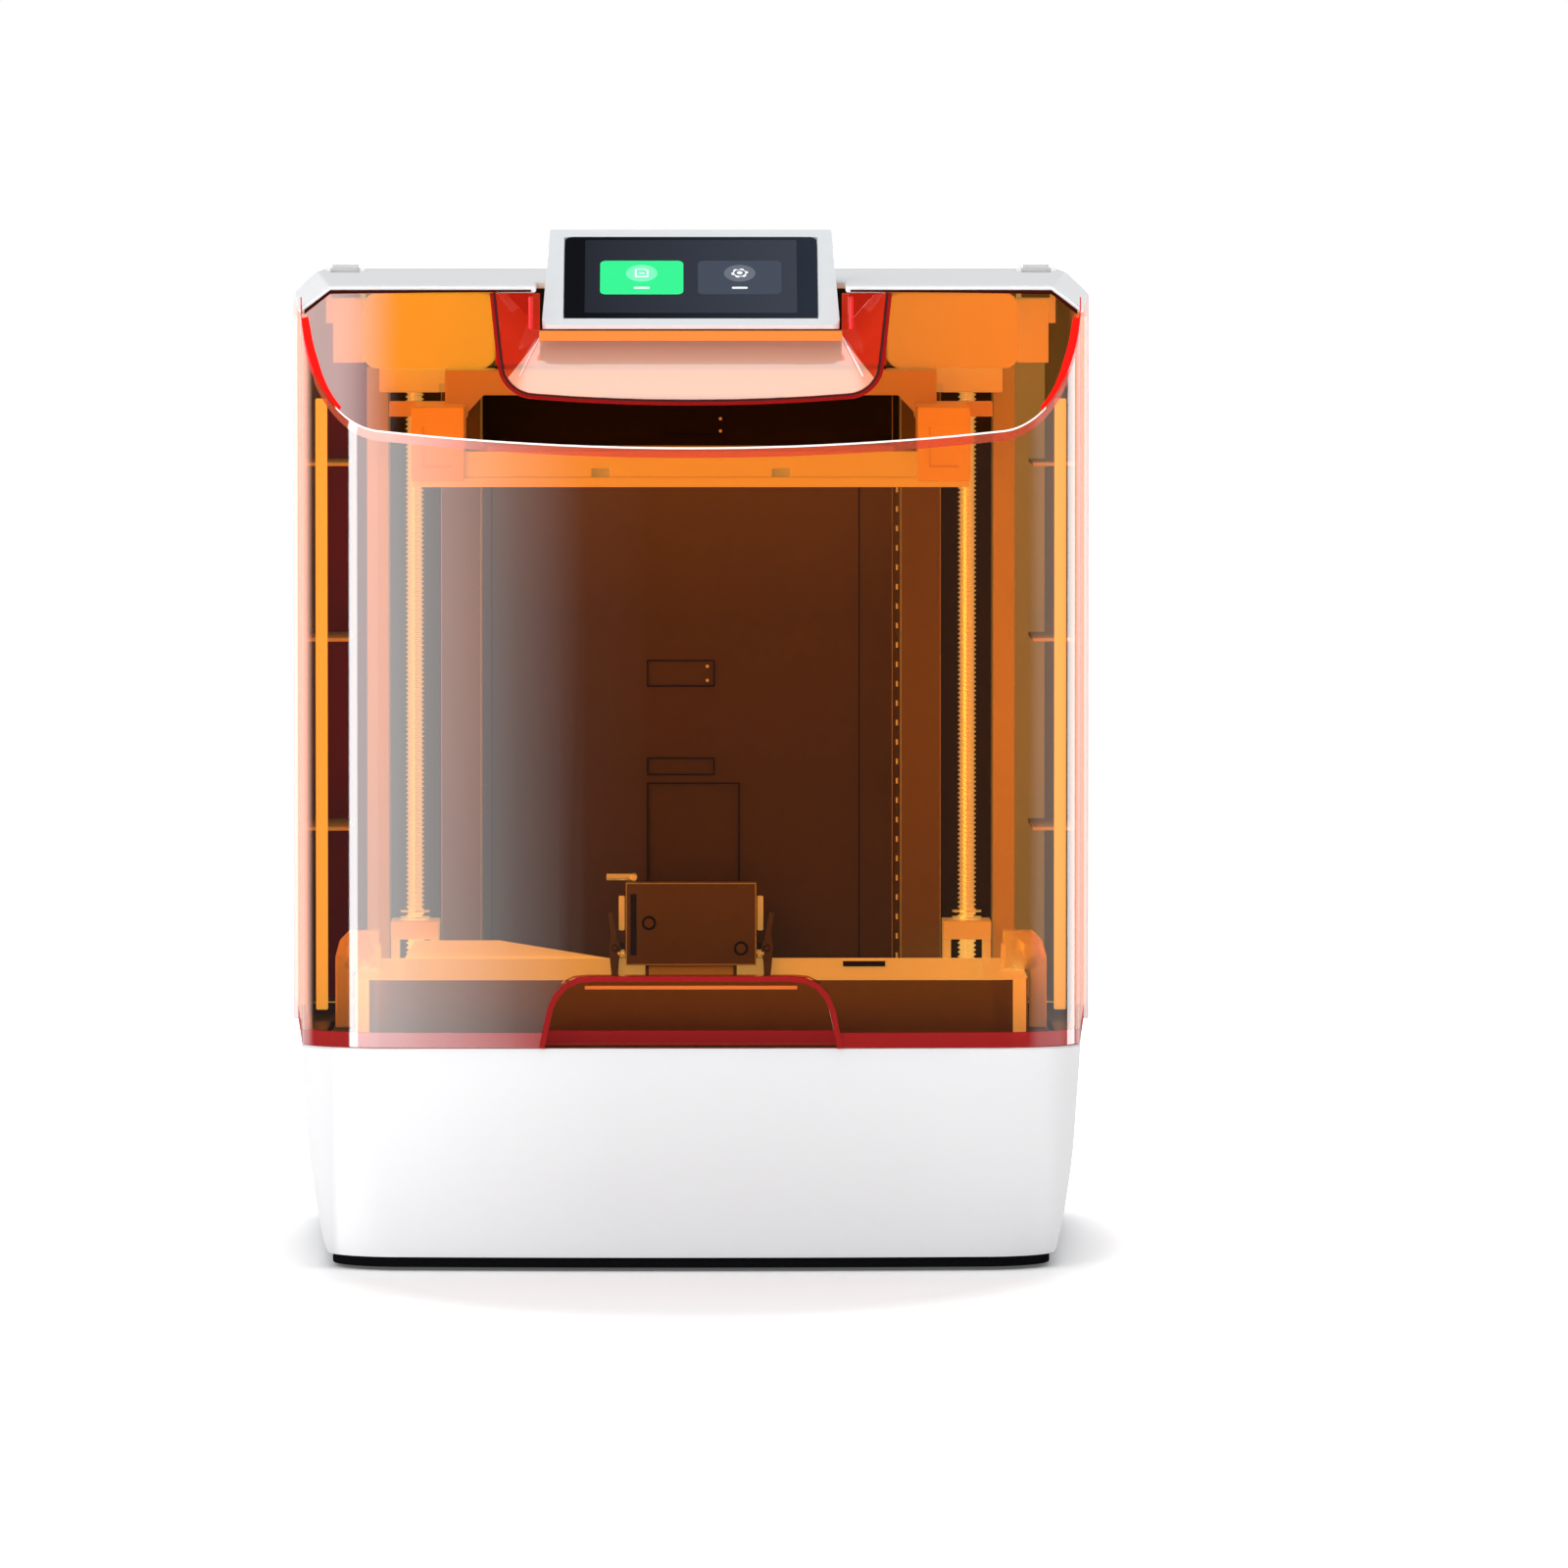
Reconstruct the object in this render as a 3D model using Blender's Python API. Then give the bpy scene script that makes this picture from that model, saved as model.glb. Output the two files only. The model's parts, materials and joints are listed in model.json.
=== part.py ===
"""Resin printer: a white base, a flip-up orange hood with a tilted touch screen, a twin-screw lift and a tilting vat.

Scene units are metres, +Z is up and the front faces -Y. The numbers below are millimetres and MM turns them into
metres. X is measured from the middle, Z from the ground and D (depth) from the front face of the base backwards.
"""

import math

import bmesh
import bpy
from mathutils import Matrix, Vector

MM = 0.001
GAP = 0.3  # air between two pieces that sit against each other

# Whole machine
WIDTH = 350.0
DEPTH = 330.0
MIDDLE = DEPTH / 2  # depth of the frame's origin
BASE_TOP = 95.0
TOP = 423.0  # top of the rear shell

# Lower body
WALL = 3.0
SHELL_FOOT = 6.0
TRAY_LOW = 1.5
DECK_LOW, DECK_HIGH = 90.5, 94.7

# Hood
HOOD_LOW = 95.3
HOOD_REAR = 204.7
HOOD_HALF_FRONT, HOOD_HALF_REAR = 166.0, 169.5
CREASE_Z = 350.0  # height where the upright front turns into the slope
SLOPE = 1.55  # rise of the slope for each millimetre of depth
SLOPE_TOP_D = 43.0
SCREEN_NOTCH_HALF = 67.0
SCREEN_NOTCH_Z = 399.0

# Lid hinge
HINGE_D, HINGE_Z = 205.0, 423.3
KNUCKLE_R = 2.5

# Touch screen: its face runs from the front edge to the rear edge
SCREEN_FRONT = (33.0, 401.0)
SCREEN_REAR = (99.0, 441.5)
SCREEN_HALF_FRONT, SCREEN_HALF_REAR = 63.5, 60.5
GLASS_HALF = 54.0
GLASS_LONG = 65.0

# Lift
SCREW_X, SCREW_D = 121.2, 222.0
SCREW_R = 4.0
COLUMN_IN, COLUMN_OUT = 92.0, 142.0
COLUMN_FRONT, COLUMN_REAR = 214.0, 256.0
CHANNEL_IN, CHANNEL_OUT = 109.5, 132.5
HEAD_LOW, HEAD_HIGH = 381.0, 414.0
PLATE_LOW, PLATE_STEP, PLATE_HIGH = 331.6, 335.8, 347.0
PLATE_FRONT, PLATE_REAR = 65.0, 180.0

# Vat and the bed that tilts under it
VAT_HALF = 144.0
VAT_FRONT, VAT_REAR = 38.0, 203.0
VAT_LOW, VAT_RIM = 97.2, 122.0
VAT_IN_HALF, VAT_IN_FRONT, VAT_IN_REAR = 126.5, 44.0, 197.5
FILM_Z = 103.3
TILT_D, TILT_Z = 209.0, 86.0

# Tilt cam: a disc off its shaft's centre, sixty degrees past its top at rest
CAM_R, CAM_OFF, CAM_D = 9.0, 11.0, 46.0

for old in list(bpy.data.objects):
    bpy.data.objects.remove(old, do_unlink=True)

COLOURS = {
    "white": ((0.86, 0.87, 0.89), 0.42, 0.0),
    "orange": ((0.90, 0.24, 0.03), 0.12, 0.0),
    "black": ((0.02, 0.02, 0.022), 0.6, 0.0),
    "dark": ((0.10, 0.10, 0.11), 0.5, 0.0),
    "grey": ((0.45, 0.46, 0.48), 0.5, 0.0),
    "alloy": ((0.72, 0.73, 0.75), 0.35, 0.9),
    "steel": ((0.62, 0.63, 0.65), 0.25, 1.0),
    "brass": ((0.78, 0.58, 0.25), 0.3, 1.0),
    "glass": ((0.015, 0.016, 0.02), 0.08, 0.0),
    "board": ((0.03, 0.20, 0.10), 0.5, 0.0),
    "film": ((0.80, 0.84, 0.86), 0.1, 0.0),
}


# ---------------------------------------------------------------- shapes


def at(x, d, z):
    """The scene point, in metres, of a place given in millimetres."""
    return Vector((x, d - MIDDLE, z)) * MM


def flat(face):
    """True if every corner of a face lies in its plane."""
    face.normal_update()
    start = face.verts[0].co
    return all(abs((v.co - start).dot(face.normal)) < 1e-7 for v in face.verts)


def from_bmesh(bm):
    """A scratch object that holds this mesh, with its faces turned outwards."""
    bent = [f for f in bm.faces if len(f.verts) > 3 and not flat(f)]
    bmesh.ops.triangulate(bm, faces=bent)
    bmesh.ops.recalc_face_normals(bm, faces=bm.faces[:])
    mesh = bpy.data.meshes.new("scratch")
    bm.to_mesh(mesh)
    bm.free()
    obj = bpy.data.objects.new("scratch", mesh)
    bpy.context.scene.collection.objects.link(obj)
    return obj


def loft(rings):
    """A closed solid through rings of scene points that all have the same count."""
    bm = bmesh.new()
    made = [[bm.verts.new(p) for p in ring] for ring in rings]
    count = len(made[0])
    for low, high in zip(made, made[1:]):
        for i in range(count):
            j = (i + 1) % count
            bm.faces.new((low[i], low[j], high[j], high[i]))
    bm.faces.new(list(reversed(made[0])))
    bm.faces.new(made[-1])
    return from_bmesh(bm)


def box(x0, x1, d0, d1, z0, z1):
    low = [at(x0, d0, z0), at(x1, d0, z0), at(x1, d1, z0), at(x0, d1, z0)]
    high = [at(x0, d0, z1), at(x1, d0, z1), at(x1, d1, z1), at(x0, d1, z1)]
    return loft([low, high])


def slab(outline, z0, z1):
    """An upright prism over an outline of (x, d) points."""
    return loft([[at(x, d, z0) for x, d in outline], [at(x, d, z1) for x, d in outline]])


def front_prism(outline, d0, d1):
    """A prism along the depth over an outline of (x, z) points."""
    return loft([[at(x, d0, z) for x, z in outline], [at(x, d1, z) for x, z in outline]])


def side_prism(outline, x0, x1):
    """A prism along X over an outline of (d, z) points."""
    return loft([[at(x0, d, z) for d, z in outline], [at(x1, d, z) for d, z in outline]])


def disc(centre, radius, sides, start=0.0):
    """The corners of a regular polygon round a two-number centre."""
    turns = [start + 2 * math.pi * i / sides for i in range(sides)]
    return [(centre[0] + radius * math.cos(t), centre[1] + radius * math.sin(t)) for t in turns]


def post(x, d, z0, z1, radius, sides=20):
    return slab(disc((x, d), radius, sides), z0, z1)


def rod_x(d, z, x0, x1, radius, sides=20):
    return side_prism(disc((d, z), radius, sides), x0, x1)


def rod_d(x, z, d0, d1, radius, sides=20):
    return front_prism(disc((x, z), radius, sides), d0, d1)


def hull(points):
    """The convex solid round scene points."""
    bm = bmesh.new()
    made = [bm.verts.new(p) for p in points]
    found = bmesh.ops.convex_hull(bm, input=made)
    loose = [v for v in found["geom_interior"] if isinstance(v, bmesh.types.BMVert)]
    bmesh.ops.delete(bm, geom=loose, context="VERTS")
    return from_bmesh(bm)


def boolean(target, others, operation):
    """Applies exact Booleans to a scratch object and removes the tools."""
    for other in others:
        tool = target.modifiers.new("tool", "BOOLEAN")
        tool.operation = operation
        tool.solver = "EXACT"
        tool.object = other
        graph = bpy.context.evaluated_depsgraph_get()
        graph.update()
        old = target.data
        made = bpy.data.meshes.new_from_object(target.evaluated_get(graph))
        target.modifiers.remove(tool)
        target.data = made
        bpy.data.meshes.remove(old)
        bpy.data.objects.remove(other, do_unlink=True)
    return target


def cut(target, *others):
    return boolean(target, others, "DIFFERENCE")


def join(target, *others):
    return boolean(target, others, "UNION")


def keep(target, *others):
    return boolean(target, others, "INTERSECT")


def material(node, colour):
    base, rough, metal = COLOURS[colour]
    made = bpy.data.materials.new(node)
    made.use_nodes = True
    shader = made.node_tree.nodes["Principled BSDF"]
    shader.inputs["Base Color"].default_value = (*base, 1.0)
    shader.inputs["Roughness"].default_value = rough
    shader.inputs["Metallic"].default_value = metal
    return made


def node(name, obj, colour, pivot=None):
    """Names a finished solid, gives it its material and puts its origin on its joint."""
    place = at(*pivot) if pivot else Vector((0.0, 0.0, 0.0))
    bm = bmesh.new()
    bm.from_mesh(obj.data)
    bmesh.ops.remove_doubles(bm, verts=bm.verts, dist=2e-6)
    bmesh.ops.dissolve_limit(bm, angle_limit=math.radians(0.2), verts=bm.verts, edges=bm.edges)
    bmesh.ops.triangulate(bm, faces=bm.faces[:])
    bm.transform(Matrix.Translation(-place))
    bm.to_mesh(obj.data)
    bm.free()
    obj.location = place
    obj.name = name
    obj.data.name = name
    obj.data.materials.clear()
    obj.data.materials.append(material(name, colour))
    return obj


def both(name, make, colour, pivot=None):
    """Makes the left (-X) and the right (+X) copy of a piece. make takes the side, -1 or 1."""
    for side, word in ((-1, "left"), (1, "right")):
        place = (side * pivot[0], pivot[1], pivot[2]) if pivot else None
        node(f"{name}_{word}", make(side), colour, place)


def span(side, x0, x1):
    """An X range mirrored to its side, low end first."""
    return (x0, x1) if side > 0 else (-x1, -x0)


def sided_box(side, x0, x1, d0, d1, z0, z1):
    low, high = span(side, x0, x1)
    return box(low, high, d0, d1, z0, z1)


# ---------------------------------------------------------------- outlines


def plan(half_front, half_rear, front, rear, radius, rear_radius, bow):
    """A body's outline seen from above: a bowed front, round corners and sides that widen backwards."""
    right = []
    corner_x = half_front - radius
    for i in range(4):
        x = corner_x * i / 4
        right.append((x, front + bow * (x / half_front) ** 2))
    base_d = front + bow * (corner_x / half_front) ** 2
    for i in range(9):
        turn = math.radians(90 * i / 8)
        right.append((corner_x + radius * math.sin(turn), base_d + radius * (1 - math.cos(turn))))
    for i in range(5):
        turn = math.radians(90 * i / 4)
        x = half_rear - rear_radius * (1 - math.cos(turn))
        right.append((x, rear - rear_radius * (1 - math.sin(turn))))
    left = [(-x, d) for x, d in reversed(right[1:])]
    return right + left


def rounded(x0, x1, y0, y1, radius, steps=4):
    """A rectangle with round corners."""
    points = []
    for cx, cy, first in (
        (x1 - radius, y0 + radius, -90),
        (x1 - radius, y1 - radius, 0),
        (x0 + radius, y1 - radius, 90),
        (x0 + radius, y0 + radius, 180),
    ):
        for i in range(steps + 1):
            turn = math.radians(first + 90 * i / steps)
            points.append((cx + radius * math.cos(turn), cy + radius * math.sin(turn)))
    return points


def hood_plan(inset, rear):
    return plan(
        HOOD_HALF_FRONT - inset, HOOD_HALF_REAR - inset, inset, rear, 32.0 - inset, 2.0, 7.5
    )


# Half-widths of the lower body at the front and at the rear, and its front, by height
BASE_RINGS = (
    (6.0, 156.0, 163.0, 2.0),
    (15.0, 158.5, 165.0, 1.2),
    (33.0, 161.5, 168.0, 0.5),
    (52.0, 164.0, 170.5, 0.0),
    (83.0, 165.8, 172.5, 0.0),
    (95.0, 166.4, 173.0, 0.0),
)


def base_loft(inset, low, high):
    rings = []
    for z, half_front, half_rear, front in BASE_RINGS:
        z = min(max(z, low), high)
        outline = plan(
            half_front - inset, half_rear - inset, front + inset, DEPTH - inset, 32.0, 14.0, 7.5
        )
        rings.append([at(x, d, z) for x, d in outline])
    rings[0] = [Vector((p.x, p.y, low * MM)) for p in rings[0]]
    rings[-1] = [Vector((p.x, p.y, high * MM)) for p in rings[-1]]
    return loft(rings)


# Cover cross-sections: depth, flat half-width and height, shoulder half-width and height
COVER_FRONT = (43.0, 154.0, 418.0, 167.6, 407.5)
COVER_BACK = (205.0, 163.4, 423.0, 173.6, 413.0)


def cover_section(d, drop):
    """The cover's half section at a depth, drop millimetres inside its outer face."""
    part = (d - COVER_FRONT[0]) / (COVER_BACK[0] - COVER_FRONT[0])
    flat, high, edge, low = [
        a + (b - a) * part for a, b in zip(COVER_FRONT[1:], COVER_BACK[1:])
    ]
    return [(flat - 0.35 * drop, high - drop), (edge - 0.85 * drop, low - 0.6 * drop)]


def shoulder_lead(d):
    """How far the cover's shoulder edge runs ahead of its flat top at a depth."""
    return 6.0 * (COVER_BACK[0] - d) / (COVER_BACK[0] - COVER_FRONT[0])


def under_cover(drop):
    """Everything behind the cover's front and above a surface that runs drop millimetres inside it."""
    rings = []
    for d in (COVER_FRONT[0] - GAP, COVER_BACK[0] + 5.0):
        (flat, high), (edge, low) = cover_section(d, drop)
        run = 20.0 / (edge - flat)
        lead = shoulder_lead(d) * (1 + run)
        corner = (edge + 20.0, d - lead, low - (high - low) * run)
        half = [(flat, d, high), corner, (edge + 20.0, d - lead, 470.0), (flat, d, 470.0)]
        half += [(-x, dd, z) for x, dd, z in reversed(half)]
        rings.append([at(*p) for p in half])
    return loft(rings)


# ---------------------------------------------------------------- lower body


def make_base_shell():
    shell = base_loft(0.0, SHELL_FOOT, BASE_TOP)
    cut(shell, base_loft(WALL, SHELL_FOOT - 1, BASE_TOP + 1))
    cut(shell, rod_d(-60.0, 48.0, DEPTH - 8, DEPTH + 2, 27.0, 24))
    cut(shell, box(66.0, 96.0, DEPTH - 8, DEPTH + 2, 26.0, 48.0))
    cut(shell, box(108.0, 124.0, DEPTH - 8, DEPTH + 2, 26.0, 48.0))
    cut(shell, box(0.0, 14.4, DEPTH - 8, DEPTH + 2, 30.0, 37.0))
    return shell


node("base_shell", make_base_shell(), "white")

FEET = [(x, d) for x in (-128.0, 128.0) for d in (42.0, 290.0)]


def make_tray():
    outline = plan(153.0, 160.0, 5.0, DEPTH - 3.0, 32.0, 14.0, 7.5)
    tray = slab(outline, TRAY_LOW, SHELL_FOOT - GAP)
    for x, d in FEET:
        cut(tray, post(x, d, TRAY_LOW - 1, 4.2, 9.8))
    rim = slab(plan(151.6, 158.6, 6.4, DEPTH - 4.4, 32.0, 14.0, 7.5), SHELL_FOOT - 1, 11.0)
    cut(rim, slab(plan(149.6, 156.6, 8.4, DEPTH - 6.4, 30.0, 12.0, 7.5), 0.0, 12.0))
    return join(tray, rim)


node("base_tray", make_tray(), "black")

for (x, d), word in zip(FEET, ("front_left", "rear_left", "front_right", "rear_right")):
    node(f"foot_{word}", post(x, d, 0.0, 4.2 - GAP, 9.4), "black")


def make_deck():
    """The plate over the lower body, with the window that the bed tilts in and the bed's two pivots."""
    outline = plan(162.5, 169.2, 4.0, DEPTH - 4.0, 32.0, 14.0, 7.5)
    deck = slab(outline, DECK_LOW, DECK_HIGH)
    cut(deck, box(-157.5, 157.5, 29.0, 201.1, 80.0, 100.0))
    cut(deck, box(-84.0, 84.0, 200.0, 216.0, 80.0, 100.0))
    for side in (-1, 1):
        cut(deck, post(side * SCREW_X, SCREW_D, 80.0, 100.0, 7.0))
        low, high = span(side, 70.5, 80.0)
        lug = side_prism([(203, 79), (215, 79), (218, DECK_LOW + 1), (200.5, DECK_LOW + 1)], low, high)
        tie = sided_box(side, 70.5, 92.0, 216.5, 222.0, 84.0, DECK_LOW + 1)
        low, high = span(side, 58.0, 71.0)
        join(deck, tie, join(lug, rod_x(TILT_D, TILT_Z, low, high, 3.0)))
    return deck


node("deck", make_deck(), "dark")


def make_light_engine():
    body = box(-62.0, 62.0, 84.0, 166.0, 14.0, 36.0)
    for i in range(6):
        x = -55.0 + 19.0 * i
        cut(body, box(x, x + 12.0, 80.0, 170.0, 10.0, 26.0))
    return join(body, slab(rounded(-44.0, 44.0, 96.0, 154.0, 8.0), 35.0, 48.0))


node("light_engine", make_light_engine(), "alloy")
node("lens_panel", slab(rounded(-98.0, 98.0, 70.0, 184.0, 6.0), 66.0, 69.0), "film")


def make_board():
    board = box(-20.0, 92.0, 268.0, 269.6, 18.0, 84.0)
    for x, z, w, h in ((0, 30, 22, 22), (34, 50, 16, 16), (62, 28, 14, 30), (6, 64, 26, 10)):
        join(board, box(x, x + w, 260.0, 268.5, z, z + h))
    return board


node("main_board", make_board(), "board")


def make_supply():
    body = box(-150.0, -96.0, 262.0, 312.0, 14.0, 76.0)
    for i in range(5):
        d = 267.0 + 9.0 * i
        cut(body, box(-152.0, -146.0, d, d + 4.0, 24.0, 66.0))
    return body


node("power_supply", make_supply(), "alloy")


def make_fan_frame():
    frame = box(-88.0, -32.0, 306.0, 326.0, 20.0, 76.0)
    cut(frame, rod_d(-60.0, 48.0, 300.0, 330.0, 26.0, 24))
    for x, z, w, h in ((-87, 47, 54, 2.4), (-61.2, 21, 2.4, 54)):
        join(frame, box(x, x + w, 307.0, 309.0, z, z + h))
    return join(frame, rod_d(-60.0, 48.0, 307.0, 311.0, 9.0, 20))


node("fan_frame", make_fan_frame(), "black")


def make_rotor():
    rotor = rod_d(-60.0, 48.0, 312.0, 324.0, 10.5, 20)
    for i in range(7):
        turn = 2 * math.pi * i / 7
        c, s = math.cos(turn), math.sin(turn)
        rows = []
        for r, d0, d1 in ((9.0, 313.0, 321.0), (24.6, 314.5, 322.5)):
            for d, lean in ((d0, -2.2), (d0 + 0.5, -4.0), (d1, 4.0), (d1 - 0.5, 5.2)):
                rows.append(at(-60.0 + r * c - lean * s, d, 48.0 + r * s + lean * c))
        join(rotor, hull(rows))
    return rotor


node("fan_rotor", make_rotor(), "dark", (-60.0, 318.0, 48.0))


def make_inlet():
    body = box(66.6, 95.4, 300.0, 330.0, 26.6, 47.4)
    cut(body, front_prism([(69, 29), (93, 29), (93, 41), (89, 45), (73, 45), (69, 41)], 310.0, 332.0))
    for x, z in ((81.0, 40.0), (75.0, 34.0), (87.0, 34.0)):
        join(body, box(x - 1, x + 1, 308.0, 325.0, z - 2, z + 2))
    return body


node("power_inlet", make_inlet(), "black")

ROCKER = (116.0, 327.0, 37.0)


def make_rocker():
    outline = [(318, 30), (329.9, 29), (327.6, 37), (327.6, 45), (318, 44)]
    return side_prism(outline, 108.8, 123.2)


node("power_rocker", make_rocker(), "black", ROCKER)


def make_usb():
    body = box(0.5, 13.9, 306.0, 329.6, 30.5, 36.5)
    cut(body, box(1.3, 13.1, 312.0, 332.0, 31.3, 35.7))
    return join(body, box(2.3, 12.1, 311.0, 327.0, 33.9, 35.0))


node("usb_port", make_usb(), "steel")


# ---------------------------------------------------------------- tilting bed and vat


def make_bed():
    bed = slab(rounded(-154.5, 154.5, 32.0, 200.4, 5.0), 89.0, 96.6)
    join(bed, slab(rounded(-117.0, 117.0, 57.0, 187.0, 6.0), 96.0, 99.7))
    cut(bed, box(-104.0, 104.0, 70.0, 174.0, 80.0, 110.0))
    for side in (-1, 1):
        low, high = span(side, 60.0, 70.0)
        ear = [(198, 90), (198, 84), (204, 80.5), (214, 80.5), (214, 91.5), (205, 93), (198, 96)]
        lug = cut(side_prism(ear, low, high), rod_x(TILT_D, TILT_Z, low - 1, high + 1, 3.35))
        join(bed, lug)
    join(bed, box(-10.0, 10.0, CAM_D - 10, CAM_D + 14, 84.0, 90.0))
    return bed


node("tilt_bed", make_bed(), "dark", (0.0, TILT_D, TILT_Z))

CAM_Z = 84.0 - GAP - CAM_R - CAM_OFF * math.cos(math.radians(60))


def make_cam():
    centre = (CAM_D + CAM_OFF * math.sin(math.radians(60)), CAM_Z + CAM_OFF * 0.5)
    lobe = side_prism(disc(centre, CAM_R, 28), -8.0, 2.0)
    return join(lobe, rod_x(CAM_D, CAM_Z, -8.0, 11.5, 5.0))


node("tilt_cam", make_cam(), "steel", (0.0, CAM_D, CAM_Z))


def make_tilt_motor():
    body = box(12.0, 30.0, CAM_D - 14, CAM_D + 14, CAM_Z - 14, CAM_Z + 9)
    return join(body, rod_x(CAM_D, CAM_Z, 29.0, 58.0, 9.0, 24))


node("tilt_motor", make_tilt_motor(), "alloy")


def make_lcd():
    return slab(rounded(-112.0, 112.0, 61.0, 183.0, 4.0), 100.0, 102.9)


node("lcd_panel", make_lcd(), "glass")


def make_vat():
    outer = slab(rounded(-VAT_HALF, VAT_HALF, VAT_FRONT, VAT_REAR, 16.0, 5), VAT_LOW, VAT_RIM)
    inner = rounded(-VAT_IN_HALF, VAT_IN_HALF, VAT_IN_FRONT, VAT_IN_REAR, 14.0, 5)
    spout = [(-36, VAT_RIM - 1), (-36, VAT_RIM), (-84, 129.8), (-121, 129.8), (-126, VAT_RIM - 1)]
    join(outer, front_prism(spout, 199.0, VAT_REAR - 0.4))
    cut(outer, slab(inner, 103.0, 140.0))
    cut(outer, slab(rounded(-118.5, 118.5, 55.5, 188.5, 7.0), 90.0, 110.0))
    for side in (-1, 1):
        cut(outer, sided_box(side, 131.5, 140.0, 60.0, 180.0, 90.0, 118.5))
    return outer


node("vat", make_vat(), "grey")
film_plan = rounded(
    -VAT_IN_HALF + 0.6, VAT_IN_HALF - 0.6, VAT_IN_FRONT + 0.6, VAT_IN_REAR - 0.6, 13.4, 5
)
node("vat_film", slab(film_plan, FILM_Z, FILM_Z + 0.3), "film")

CLAMP = (150.0, 118.0, 97.0)


def make_clamp(side):
    neck = [(146.2, 97.0), (153.6, 97.0), (153.6, 127), (151.5, 134), (146, 138.5), (134.5, 139.3)]
    neck += [(134.5, 122.4), (138.0, 122.4), (140.5, 129.5), (144.6, 129.0), (146.2, 124.5)]
    return front_prism([(side * x, z) for x, z in neck], CLAMP[1] - 4.5, CLAMP[1] + 4.5)


both("vat_clamp", make_clamp, "alloy", CLAMP)


def make_feed_head():
    """The resin feeder that hooks over the vat's rear wall."""
    head = box(-28.5, 28.5, 186.0, 196.0, 120.0, 156.0)
    join(head, box(-28.5, 28.5, 188.0, 213.0, 123.0, 153.0))
    join(head, box(-20.0, 20.0, 187.5, 194.0, 112.5, 121.0))
    join(head, box(-20.0, 20.0, 203.6, 211.0, 112.5, 124.0))
    for side in (-1, 1):
        low, high = span(side, 28.0, 35.5)
        join(head, rod_d(side * 33.2, 127.0, 198.0, 204.0, 2.2, 12))
        join(head, box(low, high, 198.6, 203.0, 125.0, 129.0))
        join(head, rod_d(side * 33.2, 127.0, 189.0, 199.0, 1.0, 12))
    return head


node("feed_head", make_feed_head(), "dark")


def make_feed_cover():
    plate = box(-28.5, 28.5, 184.6, 185.7, 119.8, 156.0)
    cut(plate, box(-26.4, -23.8, 183.0, 187.0, 124.0, 151.0))
    return plate


node("feed_cover", make_feed_cover(), "dark")


def make_nozzle():
    return join(
        rod_d(-25.0, 157.9, 190.0, 202.0, 1.5, 12),
        side_prism(disc((196.0, 157.9), 1.5, 12), -37.0, -25.0),
    )


node("feed_nozzle", make_nozzle(), "steel")

LATCH = (33.2, 194.0, 127.0)


def make_latch(side):
    outline = [(32.0, 113), (34.6, 113), (35.4, 121), (35.8, 127), (35.0, 133), (36.2, 142)]
    outline += [(34.4, 142.6), (32.6, 133), (30.6, 127), (31.6, 121)]
    lever = front_prism([(side * x, z) for x, z in outline], 190.4, 197.4)
    return cut(lever, rod_d(side * LATCH[0], LATCH[2], 180.0, 200.0, 1.35, 12))


both("feed_latch", make_latch, "grey", LATCH)


# ---------------------------------------------------------------- lift


def make_column(side):
    column = sided_box(side, COLUMN_IN, COLUMN_OUT, COLUMN_FRONT, COLUMN_REAR, BASE_TOP, HEAD_LOW - GAP)
    cut(column, sided_box(side, CHANNEL_IN, CHANNEL_OUT, COLUMN_FRONT - 1, 246.0, 90.0, 400.0))
    cut(column, sided_box(side, 95.5, 106.5, 218.0, 252.0, 90.0, 400.0))
    return cut(column, sided_box(side, 135.5, 139.0, 218.0, 252.0, 90.0, 400.0))


both("column", make_column, "grey")


def make_head(side):
    outline = rounded(85.0, COLUMN_OUT, HEAD_LOW, HEAD_HIGH, 6.0)
    return front_prism([(side * x, z) for x, z in outline], 150.0, COLUMN_REAR)


both("column_head", make_head, "grey")


def make_top_bearing(side):
    brick = sided_box(side, 107.0, 136.0, 187.0, 205.4, 370.0, HEAD_LOW - GAP)
    return cut(brick, sided_box(side, 100.0, 109.5, 180.0, 192.0, 366.0, 373.5))


both("screw_cover", make_top_bearing, "alloy")


def make_bottom_bearing(side):
    block = sided_box(side, 110.4, 131.6, 204.0, 236.0, 130.0, 138.0)
    join(block, sided_box(side, 110.4, 114.0, 208.0, 234.0, BASE_TOP, 131.0))
    join(block, sided_box(side, 128.0, 131.6, 208.0, 234.0, BASE_TOP, 131.0))
    return cut(block, post(side * SCREW_X, SCREW_D, 120.0, 140.0, 4.5))


both("screw_bearing", make_bottom_bearing, "alloy")


def make_motor(side):
    outline = rounded(SCREW_X - 21.0, SCREW_X + 21.0, SCREW_D - 21.0, SCREW_D + 21.0, 4.0, 2)
    return slab([(side * x, d) for x, d in outline], 52.0, DECK_LOW - GAP)


both("lift_motor", make_motor, "black")


def make_screw(side):
    x = side * SCREW_X
    screw = post(x, SCREW_D, DECK_LOW + 0.2, HEAD_LOW - 0.5, SCREW_R, 24)
    join(screw, post(x, SCREW_D, 138.5, 139.3, 6.4, 24))
    return join(screw, post(x, SCREW_D, 141.0, 141.8, 6.4, 24))


both("lead_screw", make_screw, "steel", (SCREW_X, SCREW_D, 236.0))


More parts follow.
